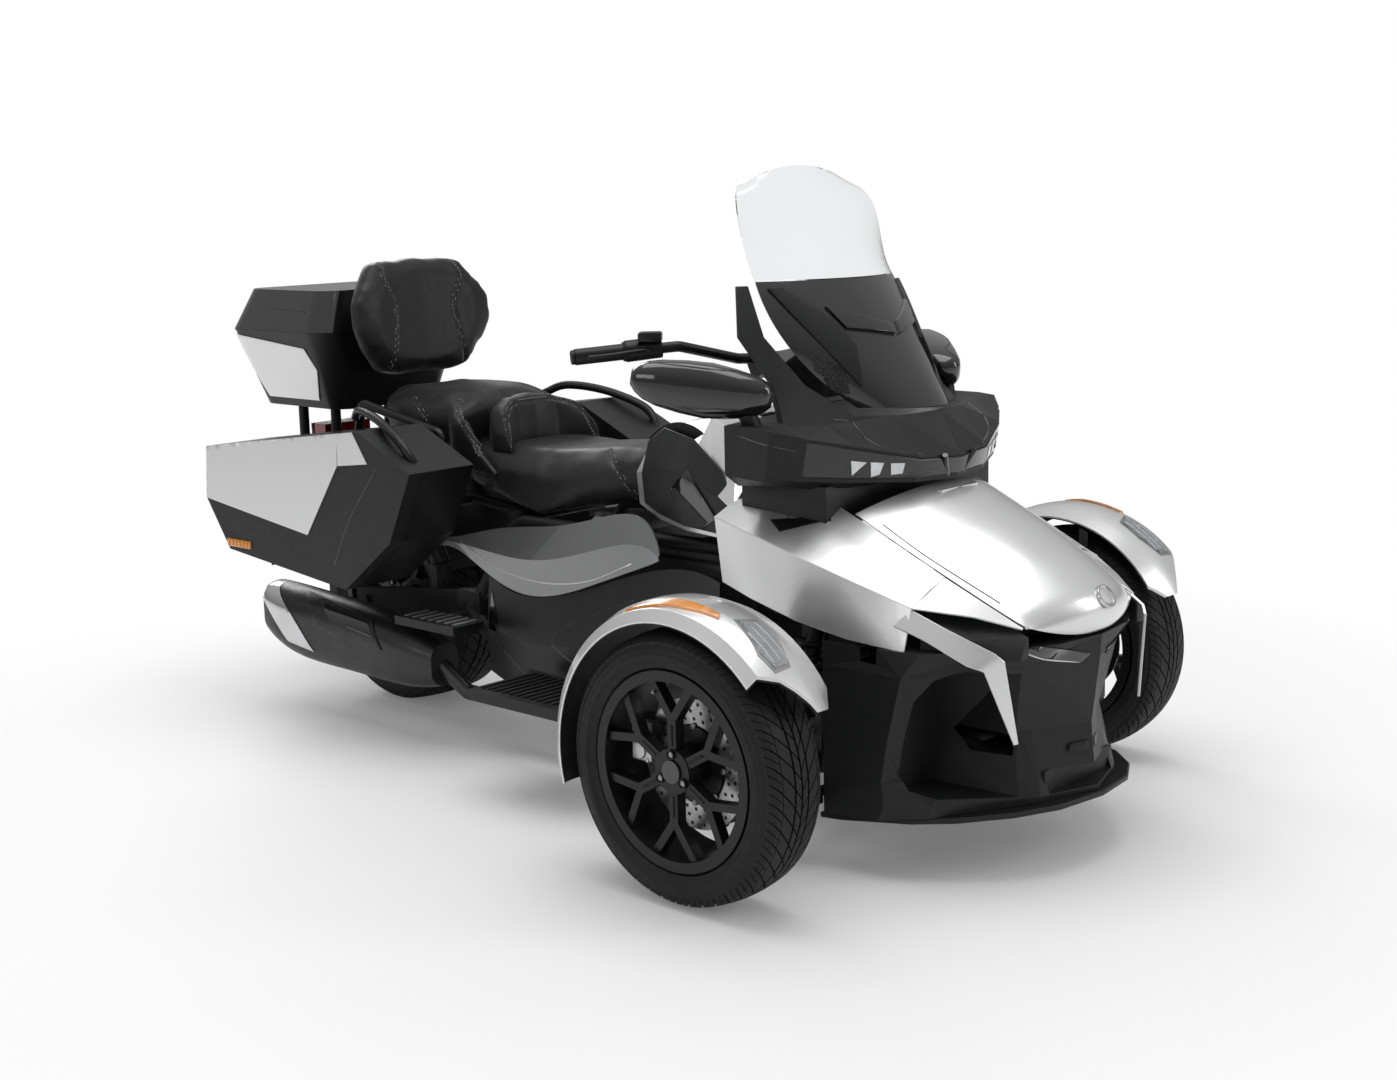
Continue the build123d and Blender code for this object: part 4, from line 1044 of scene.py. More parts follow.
def makeTyre(label, body, node, centre, radius, width):
    bm = bmesh.new()
    half = width / 2
    levels = {"hub": 0, "belly": wallFoot + (radius - wallFoot) * 0.45, "crown": radius}
    side = [(levels[level] + added, half - inwards) for level, added, inwards in tyreWall]
    grooveFloor = [(crownRadius(radius, half, y) - tread["depth"], y) for y in
                   (half - 0.026, half * 0.55, half * 0.25, 0)]
    right = side + grooveFloor
    section = right + [(r, -y) for r, y in reversed(right[:-1])]
    addRing(bm, section, centre, "Y", 128)
    count = tread["blocks"]
    pitch = math.tau * radius / count

    def treadBlock(yIn, yOut, low, high, shift):
        # one block on the crown, from yIn to yOut, taking part of the pitch
        fresh = bmesh.ops.create_grid(bm, x_segments=2, y_segments=9, size=1)["verts"]
        faces = once(f for v in fresh for f in v.link_faces)
        for vert in fresh:
            share, across = (vert.co.x + 1) / 2, (vert.co.y + 1) / 2
            y = yIn + (yOut - yIn) * across
            along = (low + (high - low) * share) * pitch
            lead = tread["sweep"] * (abs(y) / half) ** 0.85
            angle = along / radius + lead + shift * math.tau / count
            r = crownRadius(radius, half, y)
            vert.co = aroundHub(centre, r, angle, y)
        inner = vertsOf(bmesh.ops.extrude_face_region(bm, geom=faces)["geom"])
        for vert in inner:
            out = Vector((vert.co.x - centre[0], 0, vert.co.z - centre[2]))
            vert.co -= out.normalized() * (tread["depth"] + tread["sunk"])
        whole = once(f for v in inner + fresh for f in v.link_faces)
        bmesh.ops.spin(bm, geom=whole, cent=centre, axis=(0, 1, 0), angle=math.tau * (count - 1) / count,
                       steps=count - 1, use_duplicate=True)

    gap = tread["groove"] / pitch
    first, last, shoulder = gap / 2, 1 - gap / 2, (half * 0.62, half - 0.0085)
    blocks = ((0.0025, half * 0.20, first, last), (half * 0.26, half * 0.60, first, last),
              (*shoulder, first, 0.5 - gap / 4), (*shoulder, 0.5 + gap / 4, last))
    for way, shift in ((1, 0), (-1, 0.5)):
        for yIn, yOut, low, high in blocks:
            treadBlock(way * yIn, way * yOut, low, high, shift)
    bmesh.ops.recalc_face_normals(bm, faces=bm.faces)
    tyre = piece("tyre" + label, bm, "rubber", body, crease=38)
    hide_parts(node)


disc = {"outer": 0.1346, "inner": 0.082, "holes": 24, "rows": 3, "firstRow": 0.011, "rowPitch": 0.0155,
        "stagger": 0.33, "hole": 0.0042, "drillReach": 0.006, "bobbins": 8, "bobbinRing": 0.079,
        "bobbin": 0.0065, "bobbinEnds": (0.004, 0.0085), "face": (0.0026, 0.0038), "inset": 0.006}


def makeDisc(label, body, centre, outward):
    # the drilled face of the brake disc, with its carrier's bobbins
    bm = bmesh.new()
    middle = Vector(centre) + Vector((0, -disc["inset"] * outward, 0))
    back, front = (y * outward for y in disc["face"])
    section = [(disc["inner"], back), (disc["outer"], back), (disc["outer"], front), (disc["inner"], front)]
    addRing(bm, section, middle, "Y", 96)
    tidyMesh(bm)
    face = piece("discFace" + label, bm, "drilledSteel", body)

    def drillBits(tool):
        reach = Vector((0, disc["drillReach"], 0))
        for row in range(disc["rows"]):
            ring = disc["inner"] + disc["firstRow"] + row * disc["rowPitch"]
            for index in range(disc["holes"]):
                angle = math.tau * (index + row * disc["stagger"]) / disc["holes"]
                spot = aroundHub(middle, ring, angle, 0.003 * outward)
                addRod(tool, spot - reach, spot + reach, disc["hole"], segments=10)

    cutAway(face, drillBits)
    bm = bmesh.new()
    for index in range(disc["bobbins"]):
        spot = aroundHub(middle, disc["bobbinRing"], math.tau * index / disc["bobbins"])
        start, end = (spot + Vector((0, y * outward, 0)) for y in disc["bobbinEnds"])
        addRod(bm, start, end, disc["bobbin"], segments=16, bevel=0.001)
    piece("discBobbins" + label, bm, "castAlloy", body)


hubDetail = {
    "set": 0.032, "boltRing": 0.0352, "spokeRoots": (0.052, 0.094), "valve": ((0.172, 0), (0.160, 0.018)),
    "cap": ((0.0004, 0.0142), (0.023, 0.0142), (0.0245, 0.0158), (0.0235, 0.0182), (0.017, 0.0186),
            (0.0004, 0.0176)),
    "collar": ((0.0075, 0.0142), (0.0102, 0.0142), (0.0098, 0.0196), (0.0080, 0.0196)),
    "bolts": 3, "bolt": 0.0066, "boltEnds": (0.0143, 0.0176), "spokes": 6, "line": 0.0028, "lineOut": 0.0122,
    "valveRadius": 0.0035, "valveTurn": 1.85}


def makeHubDetail(label, body, centre, width, outward, settings):
    # centre cap, recessed wheel bolts and a valve
    faceY = outward * (width / 2 - settings["set"])
    bm = bmesh.new()
    addRing(bm, [(r, faceY + outward * y) for r, y in settings["cap"]], centre, "Y", 40)
    tidyMesh(bm)
    piece("hubCap" + label, bm, "glossBlack", body)
    rims, bolts = bmesh.new(), bmesh.new()
    for index in range(settings["bolts"]):
        angle = math.tau * index / settings["bolts"] + math.pi / 2
        spot = aroundHub(centre, settings["boltRing"], angle)
        addRing(rims, [(r, faceY + outward * y) for r, y in settings["collar"]], spot, "Y", 24)
        start, end = (spot + Vector((0, faceY + outward * y, 0)) for y in settings["boltEnds"])
        addRod(bolts, start, end, settings["bolt"], segments=6, bevel=0.0006)
    for index in range(settings["spokes"]):      # a thin machined line beside each spoke root
        angle = math.tau * index / settings["spokes"] + math.pi / 2
        lineY = faceY + outward * settings["lineOut"]
        near, far = (aroundHub(centre, r, angle, lineY) for r in settings["spokeRoots"])
        addRod(rims, near, far, settings["line"], segments=8)
    turn = settings["valveTurn"]
    valve, valveEnd = (aroundHub(centre, r, turn, faceY + outward * y) for r, y in settings["valve"])
    addRod(bolts, valve, valveEnd, settings["valveRadius"], segments=12)
    tidyMesh(rims)
    piece("boltCollars" + label, rims, "satinBlack", body)
    piece("wheelBolts" + label, bolts, "castAlloy", body)


# back from the hub, out from it, then how high the pistons and the pins are
caliper = {"back": 0.150, "face": 0.0203, "pistons": (0.013, 0.053), "pins": (-0.005, 0.071),
           "plate": (0.054, 0.007, 0.082), "bridge": (0.066, 0.046, 0.020), "piston": (0.0185, 0.0165),
           "pin": 0.0048, "middle": 0.033}


def makeCaliper(label, side, settings):
    # the silver four-piston caliper's outer face, left bare
    bm = bmesh.new()
    x, z = frontHub["x"] - settings["back"], frontHub["z"]
    outer = side * (frontHub["y"] + settings["face"])

    def across(forward, rise, near, far):
        return [(x + forward, outer + side * reach, z + rise) for reach in (near, far)]

    middle = z + settings["middle"]
    addBox(bm, (x + 0.030, outer + side * 0.0035, middle), settings["plate"], bevel=0.003)
    addBox(bm, (x + 0.028, side * (frontHub["y"] - 0.010), middle), settings["bridge"], bevel=0.003)
    for rise in settings["pistons"]:
        addRod(bm, *across(0.026, rise, 0.004, 0.0122), *settings["piston"], 32, 0.0015)
    for rise in settings["pins"]:
        addRod(bm, *across(0.046, rise, 0.002, 0.009), settings["pin"], segments=6, bevel=0.0006)
    piece("caliperFace" + label, bm, "caliperSilver", label.lower() + "_knuckle")


for label, (body, node, centre, radius, width, outward) in wheelPlaces.items():
    makeTyre(label, body, node, centre, radius, width)
    makeDisc(label, body, centre, outward)
    makeHubDetail(label, body, centre, width, outward, hubDetail)
for label, side in sides:
    makeCaliper(label, side, caliper)
print("wheels done")


def shrunk(points, share):
    middle = sum((Vector(p) for p in points), Vector()) / len(points)
    return [middle + (Vector(p) - middle) * share for p in points]


def trimPiece(name, node, outline, direction, material, body, cell=0.012, lift=0.0004,
              thickness=0.0015, bevel=0.0):
    # a sheet of trim on a node's surface, its rim rounded when a bevel is given
    bm = bmesh.new()
    tops = drape(bm, node, outline, direction, cell, lift, thickness)
    if bevel and tops:
        rim = [e for f in tops if f.is_valid for e in f.edges
               if len(e.link_faces) == 2 and abs(e.calc_face_angle(0)) > 0.9]
        roundEdges(bm, once(rim), bevel)
    piece(name, bm, material, body)


fenderTrim = {
    "strip": ((0.772, -0.757, 0.59), (0.850, -0.752, 0.612), (0.925, -0.746, 0.614), (0.998, -0.733, 0.600),
              (0.988, -0.712, 0.605), (0.912, -0.722, 0.619), (0.840, -0.731, 0.616), (0.785, -0.739, 0.60)),
    "lamp": ((1.014, -0.708, 0.597), (1.030, -0.664, 0.589), (1.084, -0.660, 0.556), (1.134, -0.682, 0.517),
             (1.134, -0.726, 0.513), (1.098, -0.733, 0.544))}
for label, side in sides:
    node, body = "frontFender" + label, label.lower() + "_knuckle"
    strip, lampOutline = (ofSide(fenderTrim[key], side) for key in ("strip", "lamp"))
    trimPiece("fenderMarker" + label, node, strip, (0, 0.25 * side, -1), "amberLens", body,
              0.008, thickness=0.0045, bevel=0.0012)
    facing = (-0.55, 0.1 * side, -0.83)
    trimPiece("fenderLampBed" + label, node, lampOutline, facing, "castAlloy", body,
              0.009, thickness=0.0012)
    trimPiece("fenderLamp" + label, node, shrunk(lampOutline, 0.88), facing, "clearLens", body,
              0.009, lift=0.0008, thickness=0.0036, bevel=0.0012)
    bars = bmesh.new()
    for k in range(3):                     # light guides behind the lens
        y = -0.676 - 0.018 * k
        run = ofSide([(1.040 + 0.012 * k, y, 0.59), (1.078 + 0.010 * k, y - 0.002, 0.555),
                      (1.118, y - 0.004, 0.525)], side)
        points = [onSurface(node, p, facing)[0] + Vector((0.0009, 0, 0.0014)) for p in smoothPath(run, 6)]
        addTube(bars, points, 0.0016, 8)
    piece("fenderLampBars" + label, bars, "whiteLamp", body)
print("fenders done")


def layLine(name, node, corners, direction, radius, material, body, sink):
    # a thin round bead half sunk in a surface, for a shut line or a raised edge
    bm = bmesh.new()
    points = []
    for corner in smoothPath(corners, 6):
        place, normal = onSurface(node, corner, direction, 0.25)
        points.append(place - normal * radius * sink)
    addTube(bm, points, radius, 8)
    piece(name, bm, material, body, crease=60)


def addDisc(bm, centre, normal, profile):
    # a (radius, height) profile spun about the normal
    verts = [bm.verts.new((max(r, 0.0003), 0, h)) for r, h in profile]
    edges = [bm.edges.new(pair) for pair in zip(verts, verts[1:])]
    bmesh.ops.spin(bm, geom=verts + edges, cent=(0, 0, 0), axis=(0, 0, 1), angle=math.tau, steps=40,
                   use_merge=True)
    fresh = {v for v in verts if v.is_valid}
    grown = set(fresh)
    while fresh:
        fresh = {e.other_vert(v) for v in fresh for e in v.link_edges} - grown
        grown |= fresh
    bmesh.ops.transform(bm, verts=list(grown), matrix=aimed(centre, normal))


sideTrims = [
    # name, node, body, slot, finish, direction for the right side, thickness, bevel, outline
    ("shoulderVent", "shoulders", "chassis", "black_plastic", "darkPlastic", (0, 0.1, -1), 0.0012, 0,
     [(0.772, -0.320, 0.709), (0.900, -0.277, 0.724), (0.911, -0.284, 0.718), (0.817, -0.342, 0.695)]),
    ("browLamp", "noseShell", "chassis", "dark_lens", "darkLens", (-1, 0.35, -0.1), 0.003, 0.0008,
     [(1.306, -0.250, 0.510), (1.342, -0.155, 0.462), (1.368, -0.047, 0.436), (1.378, -0.026, 0.452),
      (1.363, -0.115, 0.476)]),
    ("chinCover", "noseShell", "chassis", "black_plastic", "darkPlastic", (-1, 0.2, 0), 0.0016, 0.0005,
     [(1.348, -0.057, 0.246), (1.368, -0.012, 0.244), (1.367, -0.011, 0.263), (1.347, -0.055, 0.261)]),
    ("screenBlade", "screen_panel", "chassis", "black_plastic", "mattPlastic", (-1, 0.45, -0.1), 0.009,
     0.0025,
     [(0.692, -0.225, 1.190), (0.712, -0.199, 1.191), (0.803, -0.132, 1.117), (0.843, -0.115, 1.068),
      (0.867, -0.129, 0.980), (0.835, -0.150, 1.022), (0.758, -0.195, 1.113)]),
    ("screenSlat", "screen_panel", "chassis", "gloss_black", "glossBlack", (-1, 0.2, -0.2), 0.008, 0.002,
     [(0.778, -0.139, 1.148), (0.847, -0.015, 1.110), (0.866, -0.005, 1.086), (0.819, -0.119, 1.103)]),
    ("screenMesh", "screen_panel", "chassis", "black_plastic", "fineMeshShadedHoles", (-1, 0.5, 0), 0.0008, 0,
     [(0.80, -0.200, 1.052), (0.85, -0.150, 1.020), (0.862, -0.148, 0.965), (0.83, -0.195, 0.965)]),
    ("kneePanel", "kneePanels", "chassis", "gloss_black", "glossBlack", (-0.2, 1, -0.1), 0.004, 0.0014,
     [(0.403, -0.235, 0.734), (0.471, -0.246, 0.782), (0.575, -0.269, 0.684), (0.512, -0.258, 0.652)]),
    ("kneeStrip", "kneePanels", "chassis", "black_plastic", "mattPlastic", (-0.2, 1, -0.1), 0.0056, 0.0012,
     [(0.398, -0.235, 0.726), (0.424, -0.241, 0.738), (0.541, -0.262, 0.672), (0.508, -0.257, 0.646)]),
    ("lidPanel", "side_case_lid_right", "right_case_lid", "silver_paint", "silverPaint", (0, 1, 0), 0.0022,
     0.0008,
     [(-1.140, -0.48, 0.604), (-0.878, -0.48, 0.572), (-0.668, -0.48, 0.546), (-0.525, -0.48, 0.738),
      (-0.520, -0.48, 0.845), (-1.140, -0.48, 0.845)]),
    ("lidPanelTail", "side_case_lid_right", "right_case_lid", "silver_paint", "silverPaint", (0, 1, 0),
     0.0022, 0.0008,
     [(-0.522, -0.48, 0.738), (-0.402, -0.48, 0.752), (-0.470, -0.48, 0.845), (-0.522, -0.48, 0.845)]),
    ("topCaseFlank", "top_case", "chassis", "silver_paint", "silverPaint", (0, 1, 0.2), 0.0022, 0.001,
     [(-1.300, -0.26, 1.028), (-0.970, -0.26, 0.992), (-0.944, -0.242, 0.930), (-0.985, -0.20, 0.845),
      (-1.220, -0.20, 0.845)]),
    ("exhaustShield", "exhaust", "chassis", "muffler_steel", "heatSteel", (0, 1, -0.3), 0.003, 0.001,
     [(-0.866, -0.345, 0.353), (-0.756, -0.360, 0.342), (-0.547, -0.374, 0.319), (-0.492, -0.404, 0.253),
      (-0.745, -0.400, 0.264)]),
    ("exhaustRecess", "exhaust", "chassis", "black_plastic", "glossBlack", (0, 1, -0.3), 0.0042, 0.001,
     [(-0.773, -0.365, 0.338), (-0.556, -0.384, 0.312), (-0.520, -0.403, 0.280), (-0.708, -0.399, 0.300)]),
    ("exhaustTip", "exhaust", "chassis", "steel", "chrome", (0.3, 1, -0.2), 0.0022, 0.001,
     [(-1.060, -0.36, 0.345), (-1.005, -0.344, 0.369), (-0.887, -0.399, 0.299), (-0.789, -0.399, 0.202),
      (-0.906, -0.400, 0.215)]),
    ("panelLoop", "lower_side_panels", "chassis", "black_plastic", "glossBlack", (0, 1, 0), 0.0012, 0,
     [(-0.213, -0.258, 0.420), (-0.180, -0.271, 0.345), (-0.190, -0.266, 0.320), (-0.224, -0.262, 0.322)]),
]
sideLines = [
    # name, node, body, slot, finish, direction for the right side, radius, sink, corners
    ("hoodGap", "boot_lid", "boot", "black_plastic", "darkPlastic", (0, 0, -1), 0.0016, 0.5,
     [(1.000, -0.224, 0.70), (1.094, -0.222, 0.661), (1.190, -0.212, 0.62), (1.276, -0.200, 0.574)]),
    ("browEdge", "noseShell", "chassis", "clear_screen", "whiteLamp", (-1, 0.35, -0.1), 0.0022, 0.1,
     [(1.312, -0.242, 0.503), (1.345, -0.150, 0.4595), (1.369, -0.050, 0.437)]),
    ("fairingSeam", "fairingShell", "chassis", "black_plastic", "glossBlack", (-0.6, 0.8, -0.2), 0.0016, 0.4,
     [(0.751, -0.402, 0.899), (0.851, -0.391, 0.878), (0.926, -0.256, 0.847)]),
    ("deckLine", "fairingShell", "chassis", "gloss_black", "glossBlack", (-0.4, 0.3, -1), 0.0018, 0.3,
     [(0.800, -0.249, 0.960), (0.874, -0.206, 0.918), (0.970, -0.194, 0.870), (1.019, -0.104, 0.842)]),
    ("podLine", "mirrorHousings", "chassis", "gloss_black", "mattPlastic", (-1, 0.5, 0), 0.0018, 0.4,
     [(0.591, -0.486, 1.05), (0.686, -0.435, 1.038), (0.757, -0.342, 1.017), (0.787, -0.346, 0.979)]),
    ("caseSeam", "side_case_lid_right", "right_case_lid", "black_plastic", "glossBlack", (0, 1, 0), 0.0016,
     0.4,
     [(-0.367, -0.478, 0.748), (-0.489, -0.478, 0.603), (-0.563, -0.478, 0.479)]),
    ("topLidCrease", "top_case_lid", "top_lid", "gloss_black", "mattPlastic", (0, 1, -0.1), 0.0016, 0.3,
     [(-1.175, -0.263, 1.107), (-1.070, -0.264, 1.103), (-0.963, -0.264, 1.097)]),
    ("lowPanelLine", "lower_side_panels", "chassis", "black_plastic", "glossBlack", (0, 1, 0), 0.0015, 0.4,
     [(-0.189, -0.269, 0.293), (-0.090, -0.28, 0.24), (0.002, -0.286, 0.190)]),
    ("frontPanelLine", "lower_side_panels", "chassis", "black_plastic", "glossBlack", (0, 1, 0), 0.0015, 0.4,
     [(0.333, -0.294, 0.473), (0.220, -0.296, 0.43), (0.114, -0.298, 0.384), (0.052, -0.302, 0.334),
      (0.149, -0.304, 0.280)]),
    ("sidePanelEdge", "side_panels", "chassis", "grey_paint", "silverPaint", (0, 1, -0.2), 0.0022, 0.35,
     [(-0.300, -0.29, 0.540), (-0.150, -0.300, 0.492), (0.020, -0.306, 0.478), (0.180, -0.308, 0.500),
      (0.330, -0.308, 0.560)]),
]
for label, side in sides:
    for row in sideTrims + sideLines:
        name, node, body, slotName, material, direction, size, second, points = row
        if side > 0:
            node, body = node.replace("right", "left"), body.replace("right", "left")
        if side > 0 and name.startswith("exhaust"):
            continue                     # the exhaust is on the right only
        towards, points = ofSide([direction], side)[0], ofSide(points, side)
        if row in sideTrims:
            trimPiece(name + label, node, points, towards, material, body, thickness=size,
                      bevel=second)
        else:
            layLine(name + label, node, points, towards, size, material, body, second)
print("panel trim done", 2 * (len(sideTrims) + len(sideLines)))

emblem = {
    "aim": (1.400, 0.0, 0.575), "direction": (-0.5, 0, -0.85), "radius": 0.026, "sunk": 0.0022,
    "discs": (("hoodEmblem", "chrome", "steel", (
        (0, 0.0072), (0.45, 0.0068), (0.74, 0.0054), (0.78, 0.0062), (0.86, 0.0074), (0.97, 0.0070),
        (1, 0.0054), (1, 0))), ("hoodEmblemFace", "caliperSilver", "silver_paint", (
            (0, 0.0078), (0.4, 0.0074), (0.68, 0.0064), (0.70, 0.0058), (0.70, 0.001))))}


def makeEmblem(settings):
    # a plain domed disc with a raised rim on the hood's beak
    place, normal = onSurface("boot_lid", settings["aim"], settings["direction"])
    for name, material, slotName, rows in settings["discs"]:
        bm = bmesh.new()
        addDisc(bm, place - normal * settings["sunk"], normal, [(settings["radius"] * r, h) for r, h in rows])
        tidyMesh(bm)
        piece(name, bm, material, "boot")


makeEmblem(emblem)

noseGrille = {"half": 0.114, "low": 0.171, "high": 0.211, "cell": 0.0092, "front": 1.3292, "depth": 0.004,
              "strand": 0.0014}


def makeGrille(settings):
    # a lattice of six-sided cells in front of the lower opening
    bm = bmesh.new()
    step = settings["cell"] * math.sqrt(3)
    rows = int((settings["high"] - settings["low"]) / (settings["cell"] * 1.5)) + 1
    count = int(2 * settings["half"] / step)
    turn = Matrix.Rotation(math.pi / 2, 4, "Y")
    for row in range(rows):
        for index in range(count + 1 - row % 2):
            y = -settings["half"] + step * (index + 0.5 * (row % 2))
            z = settings["low"] + row * settings["cell"] * 1.5
            ring = bmesh.ops.create_circle(bm, segments=6, radius=settings["cell"], cap_ends=True)["verts"]
            bmesh.ops.transform(bm, verts=ring, matrix=Matrix.Translation((settings["front"], y, z)) @ turn)
    inset = bmesh.ops.inset_individual(bm, faces=bm.faces, thickness=settings["strand"])
    frames = set(inset["faces"])
    bmesh.ops.delete(bm, geom=[f for f in bm.faces if f not in frames], context="FACES")
    bmesh.ops.remove_doubles(bm, verts=bm.verts, dist=0.0003)
    bmesh.ops.solidify(bm, geom=bm.faces, thickness=settings["depth"])
    bmesh.ops.recalc_face_normals(bm, faces=bm.faces)
    piece("grilleLattice", bm, "mattPlastic", "chassis")


makeGrille(noseGrille)

radiator = {"front": 1.108, "back": 1.078, "inner": 0.222, "outer": 0.362, "low": 0.190, "high": 0.432,
            "fins": 34, "tubes": 9}


def makeRadiator(label, side, settings):
    # a finned core with side tanks inside the intake
    bm = bmesh.new()
    front, back, inner, outer = (settings[key] for key in ("front", "back", "inner", "outer"))
    low, high = settings["low"], settings["high"]
    middle, half = side * (inner + outer) / 2, (low + high) / 2
    tall, wide = high - low, outer - inner
    addBox(bm, (back + 0.010, middle, half), (0.016, wide - 0.02, tall - 0.01))
    for index in range(settings["fins"]):
        z = low + 0.006 + (tall - 0.012) * index / (settings["fins"] - 1)
        addBox(bm, (front - 0.010, middle, z), (0.020, wide - 0.022, 0.0012))
    for index in range(settings["tubes"]):
        y = inner + 0.014 + (wide - 0.028) * index / (settings["tubes"] - 1)
        addBox(bm, (front - 0.011, side * y, half), (0.018, 0.0028, tall - 0.012))
    piece("radiatorCore" + label, bm, "darkCasting", "chassis")
    bm = bmesh.new()
    for y in (inner + 0.005, outer - 0.005):
        addBox(bm, ((front + back) / 2, side * y, half), (0.034, 0.014, tall), bevel=0.003)
    piece("radiatorTanks" + label, bm, "frameBlack", "chassis")


for label, side in sides:
    makeRadiator(label, side, radiator)
print("nose done")


bars = {"grip": ((0.400, -0.368, 1.055), (0.335, -0.460, 1.047)), "gripRadius": 0.0172, "ribs": 22,
        "pod": ((0.446, -0.303, 1.062), (0.402, -0.365, 1.0555)), "podRadius": 0.0225,
        "buttons": ((-0.018, 0.006), (0.0, 0.0075), (0.018, 0.005)), "reservoir": (0.040, 0.052, 0.022),
        "lever": 0.0045}


def makeBars(settings):
    # ribbed grips, switch pods with buttons and a reservoir, and a lever before each grip
    grips, pods, levers = bmesh.new(), bmesh.new(), bmesh.new()
    thick, ribs = settings["gripRadius"], settings["ribs"]
    for side in (1, -1):
        start, end = ofSide(settings["grip"], side)
        along = (end - start).normalized()
        for index in range(ribs):         # ribs round the rubber grip
            spot = start + (end - start) * (index + 0.5) / ribs
            addRod(grips, spot - along * 0.0016, spot + along * 0.0016, thick + 0.0008, segments=20)
        addRod(grips, start, end, thick, segments=28, bevel=0.002)
        addRod(grips, start - along * 0.001, start + along * 0.006, thick + 0.0045, segments=28, bevel=0.0015)
        addRod(pods, end, end + along * 0.009, thick - 0.001, segments=28, bevel=0.002)
        podStart, podEnd = ofSide(settings["pod"], side)
        addRod(pods, podStart, podEnd, settings["podRadius"], segments=28, bevel=0.004)
        middle = (podStart + podEnd) / 2
        for k, size in settings["buttons"]:
            spot = middle + along * k + Vector((-0.016, 0, 0.012))
            addRod(pods, spot, spot + Vector((-0.006, 0, 0.005)), size, segments=16, bevel=0.001)
        reservoir = middle + Vector((0.020, 0, 0.028))
        addBox(pods, reservoir, settings["reservoir"], Matrix.Rotation(0.9 * side, 3, "Z"), 0.005)
        reachOut = [middle + Vector((0.024, 0.0, 0)), start + Vector((0.050, 0, 0.004)),
                    start + (end - start) * 0.6 + Vector((0.056, 0, 0.002)), end + Vector((0.040, 0, 0))]
        addTube(levers, smoothPath(reachOut, 6), settings["lever"], 10)
    piece("gripRubbers", grips, "rubber", "steering")
    piece("switchPods", pods, "satinBlack", "steering")
    piece("handLevers", levers, "satinBlack", "steering")


makeBars(bars)

coil = {"foot": (frontHub["x"], -0.420, 0.187), "top": (frontHub["x"], -0.300, 0.500), "radius": 0.034,
        "wire": 0.0052, "turns": 8}


def makeSprings(settings):
    # a coil round each front damper
    bm = bmesh.new()
    for side in (1, -1):
        foot, top = ofSide([settings["foot"], settings["top"]], side)
        along = (top - foot).normalized()
        sideways = Vector((1, 0, 0))
        third = along.cross(sideways)
        points = []
        count = settings["turns"] * 18
        for index in range(count + 1):
            share = index / count
            angle = math.tau * settings["turns"] * share
            points.append(foot + (top - foot) * (0.14 + 0.72 * share)
                          + (sideways * math.cos(angle) + third * math.sin(angle)) * settings["radius"])
        addTube(bm, points, settings["wire"], 8)
    piece("damperSprings", bm, "satinBlack", "chassis")


makeSprings(coil)


# each board's middle, and its ribs' count, first place and pitch
boards = {"rider": (0.435, 12, 0.040, 0.024), "passenger": (0.350, 7, -0.400, 0.031),
          "riderTop": (0.19, -0.44, 0.27), "passengerTop": (-0.30, -0.35, 0.36),
          "rib": (0.010, 0.165, 0.005), "alloyRib": (0.012, 0.075, 0.004), "pad": (0.228, 0.088, 0.0016),
          "edge": (0.300, 0.010, 0.010), "toe": (0.014, 0.175, 0.022)}


def makeBoards(settings):
    # rubber ribs on the rider's boards and alloy ribs on the passenger's
    ribs, alloy, pegs = bmesh.new(), bmesh.new(), bmesh.new()
    top, passengerTop = (onSurface("footboards", settings[key], (0, 0, -1))[0].z
                         for key in ("riderTop", "passengerTop"))
    riderY, ribCount, ribFirst, ribPitch = settings["rider"]
    passengerY, alloyCount, alloyFirst, alloyPitch = settings["passenger"]
    for side in (1, -1):
        for index in range(ribCount):
            spot = (ribFirst + ribPitch * index, riderY * side, top + 0.002)
            addBox(ribs, spot, settings["rib"], bevel=0.0015)
        addBox(ribs, (0.170, 0.350 * side, top + 0.004), settings["edge"], bevel=0.003)
        addBox(ribs, (0.322, riderY * side, top + 0.010), settings["toe"], Matrix.Rotation(-0.3, 3, "Y"),
               0.004)
        for index in range(alloyCount):
            spot = (alloyFirst + alloyPitch * index, passengerY * side, passengerTop + 0.0015)
            addBox(alloy, spot, settings["alloyRib"], bevel=0.001)
        addBox(pegs, (-0.305, passengerY * side, passengerTop + 0.0004), settings["pad"], bevel=0.0005)
    piece("boardRibs", ribs, "rubber", "chassis")
    piece("passengerBoardRibs", alloy, "castAlloy", "chassis")
    piece("passengerBoardPads", pegs, "rubber", "chassis")


makeBoards(boards)

tail = {"x": -1.180, "low": 0.704, "high": 0.760, "half": 0.080, "ribs": 11, "washerX": -1.4148,
        "washers": ((-0.073, 0.341), (-0.073, 0.411), (0.073, 0.341), (0.073, 0.411)),
        "washer": ((0.0036, -0.0004), (0.0072, -0.0004), (0.0068, -0.0016), (0.0036, -0.0016)),
        "marker": (-0.983, 0.4800, 0.489), "markerRibs": 6}


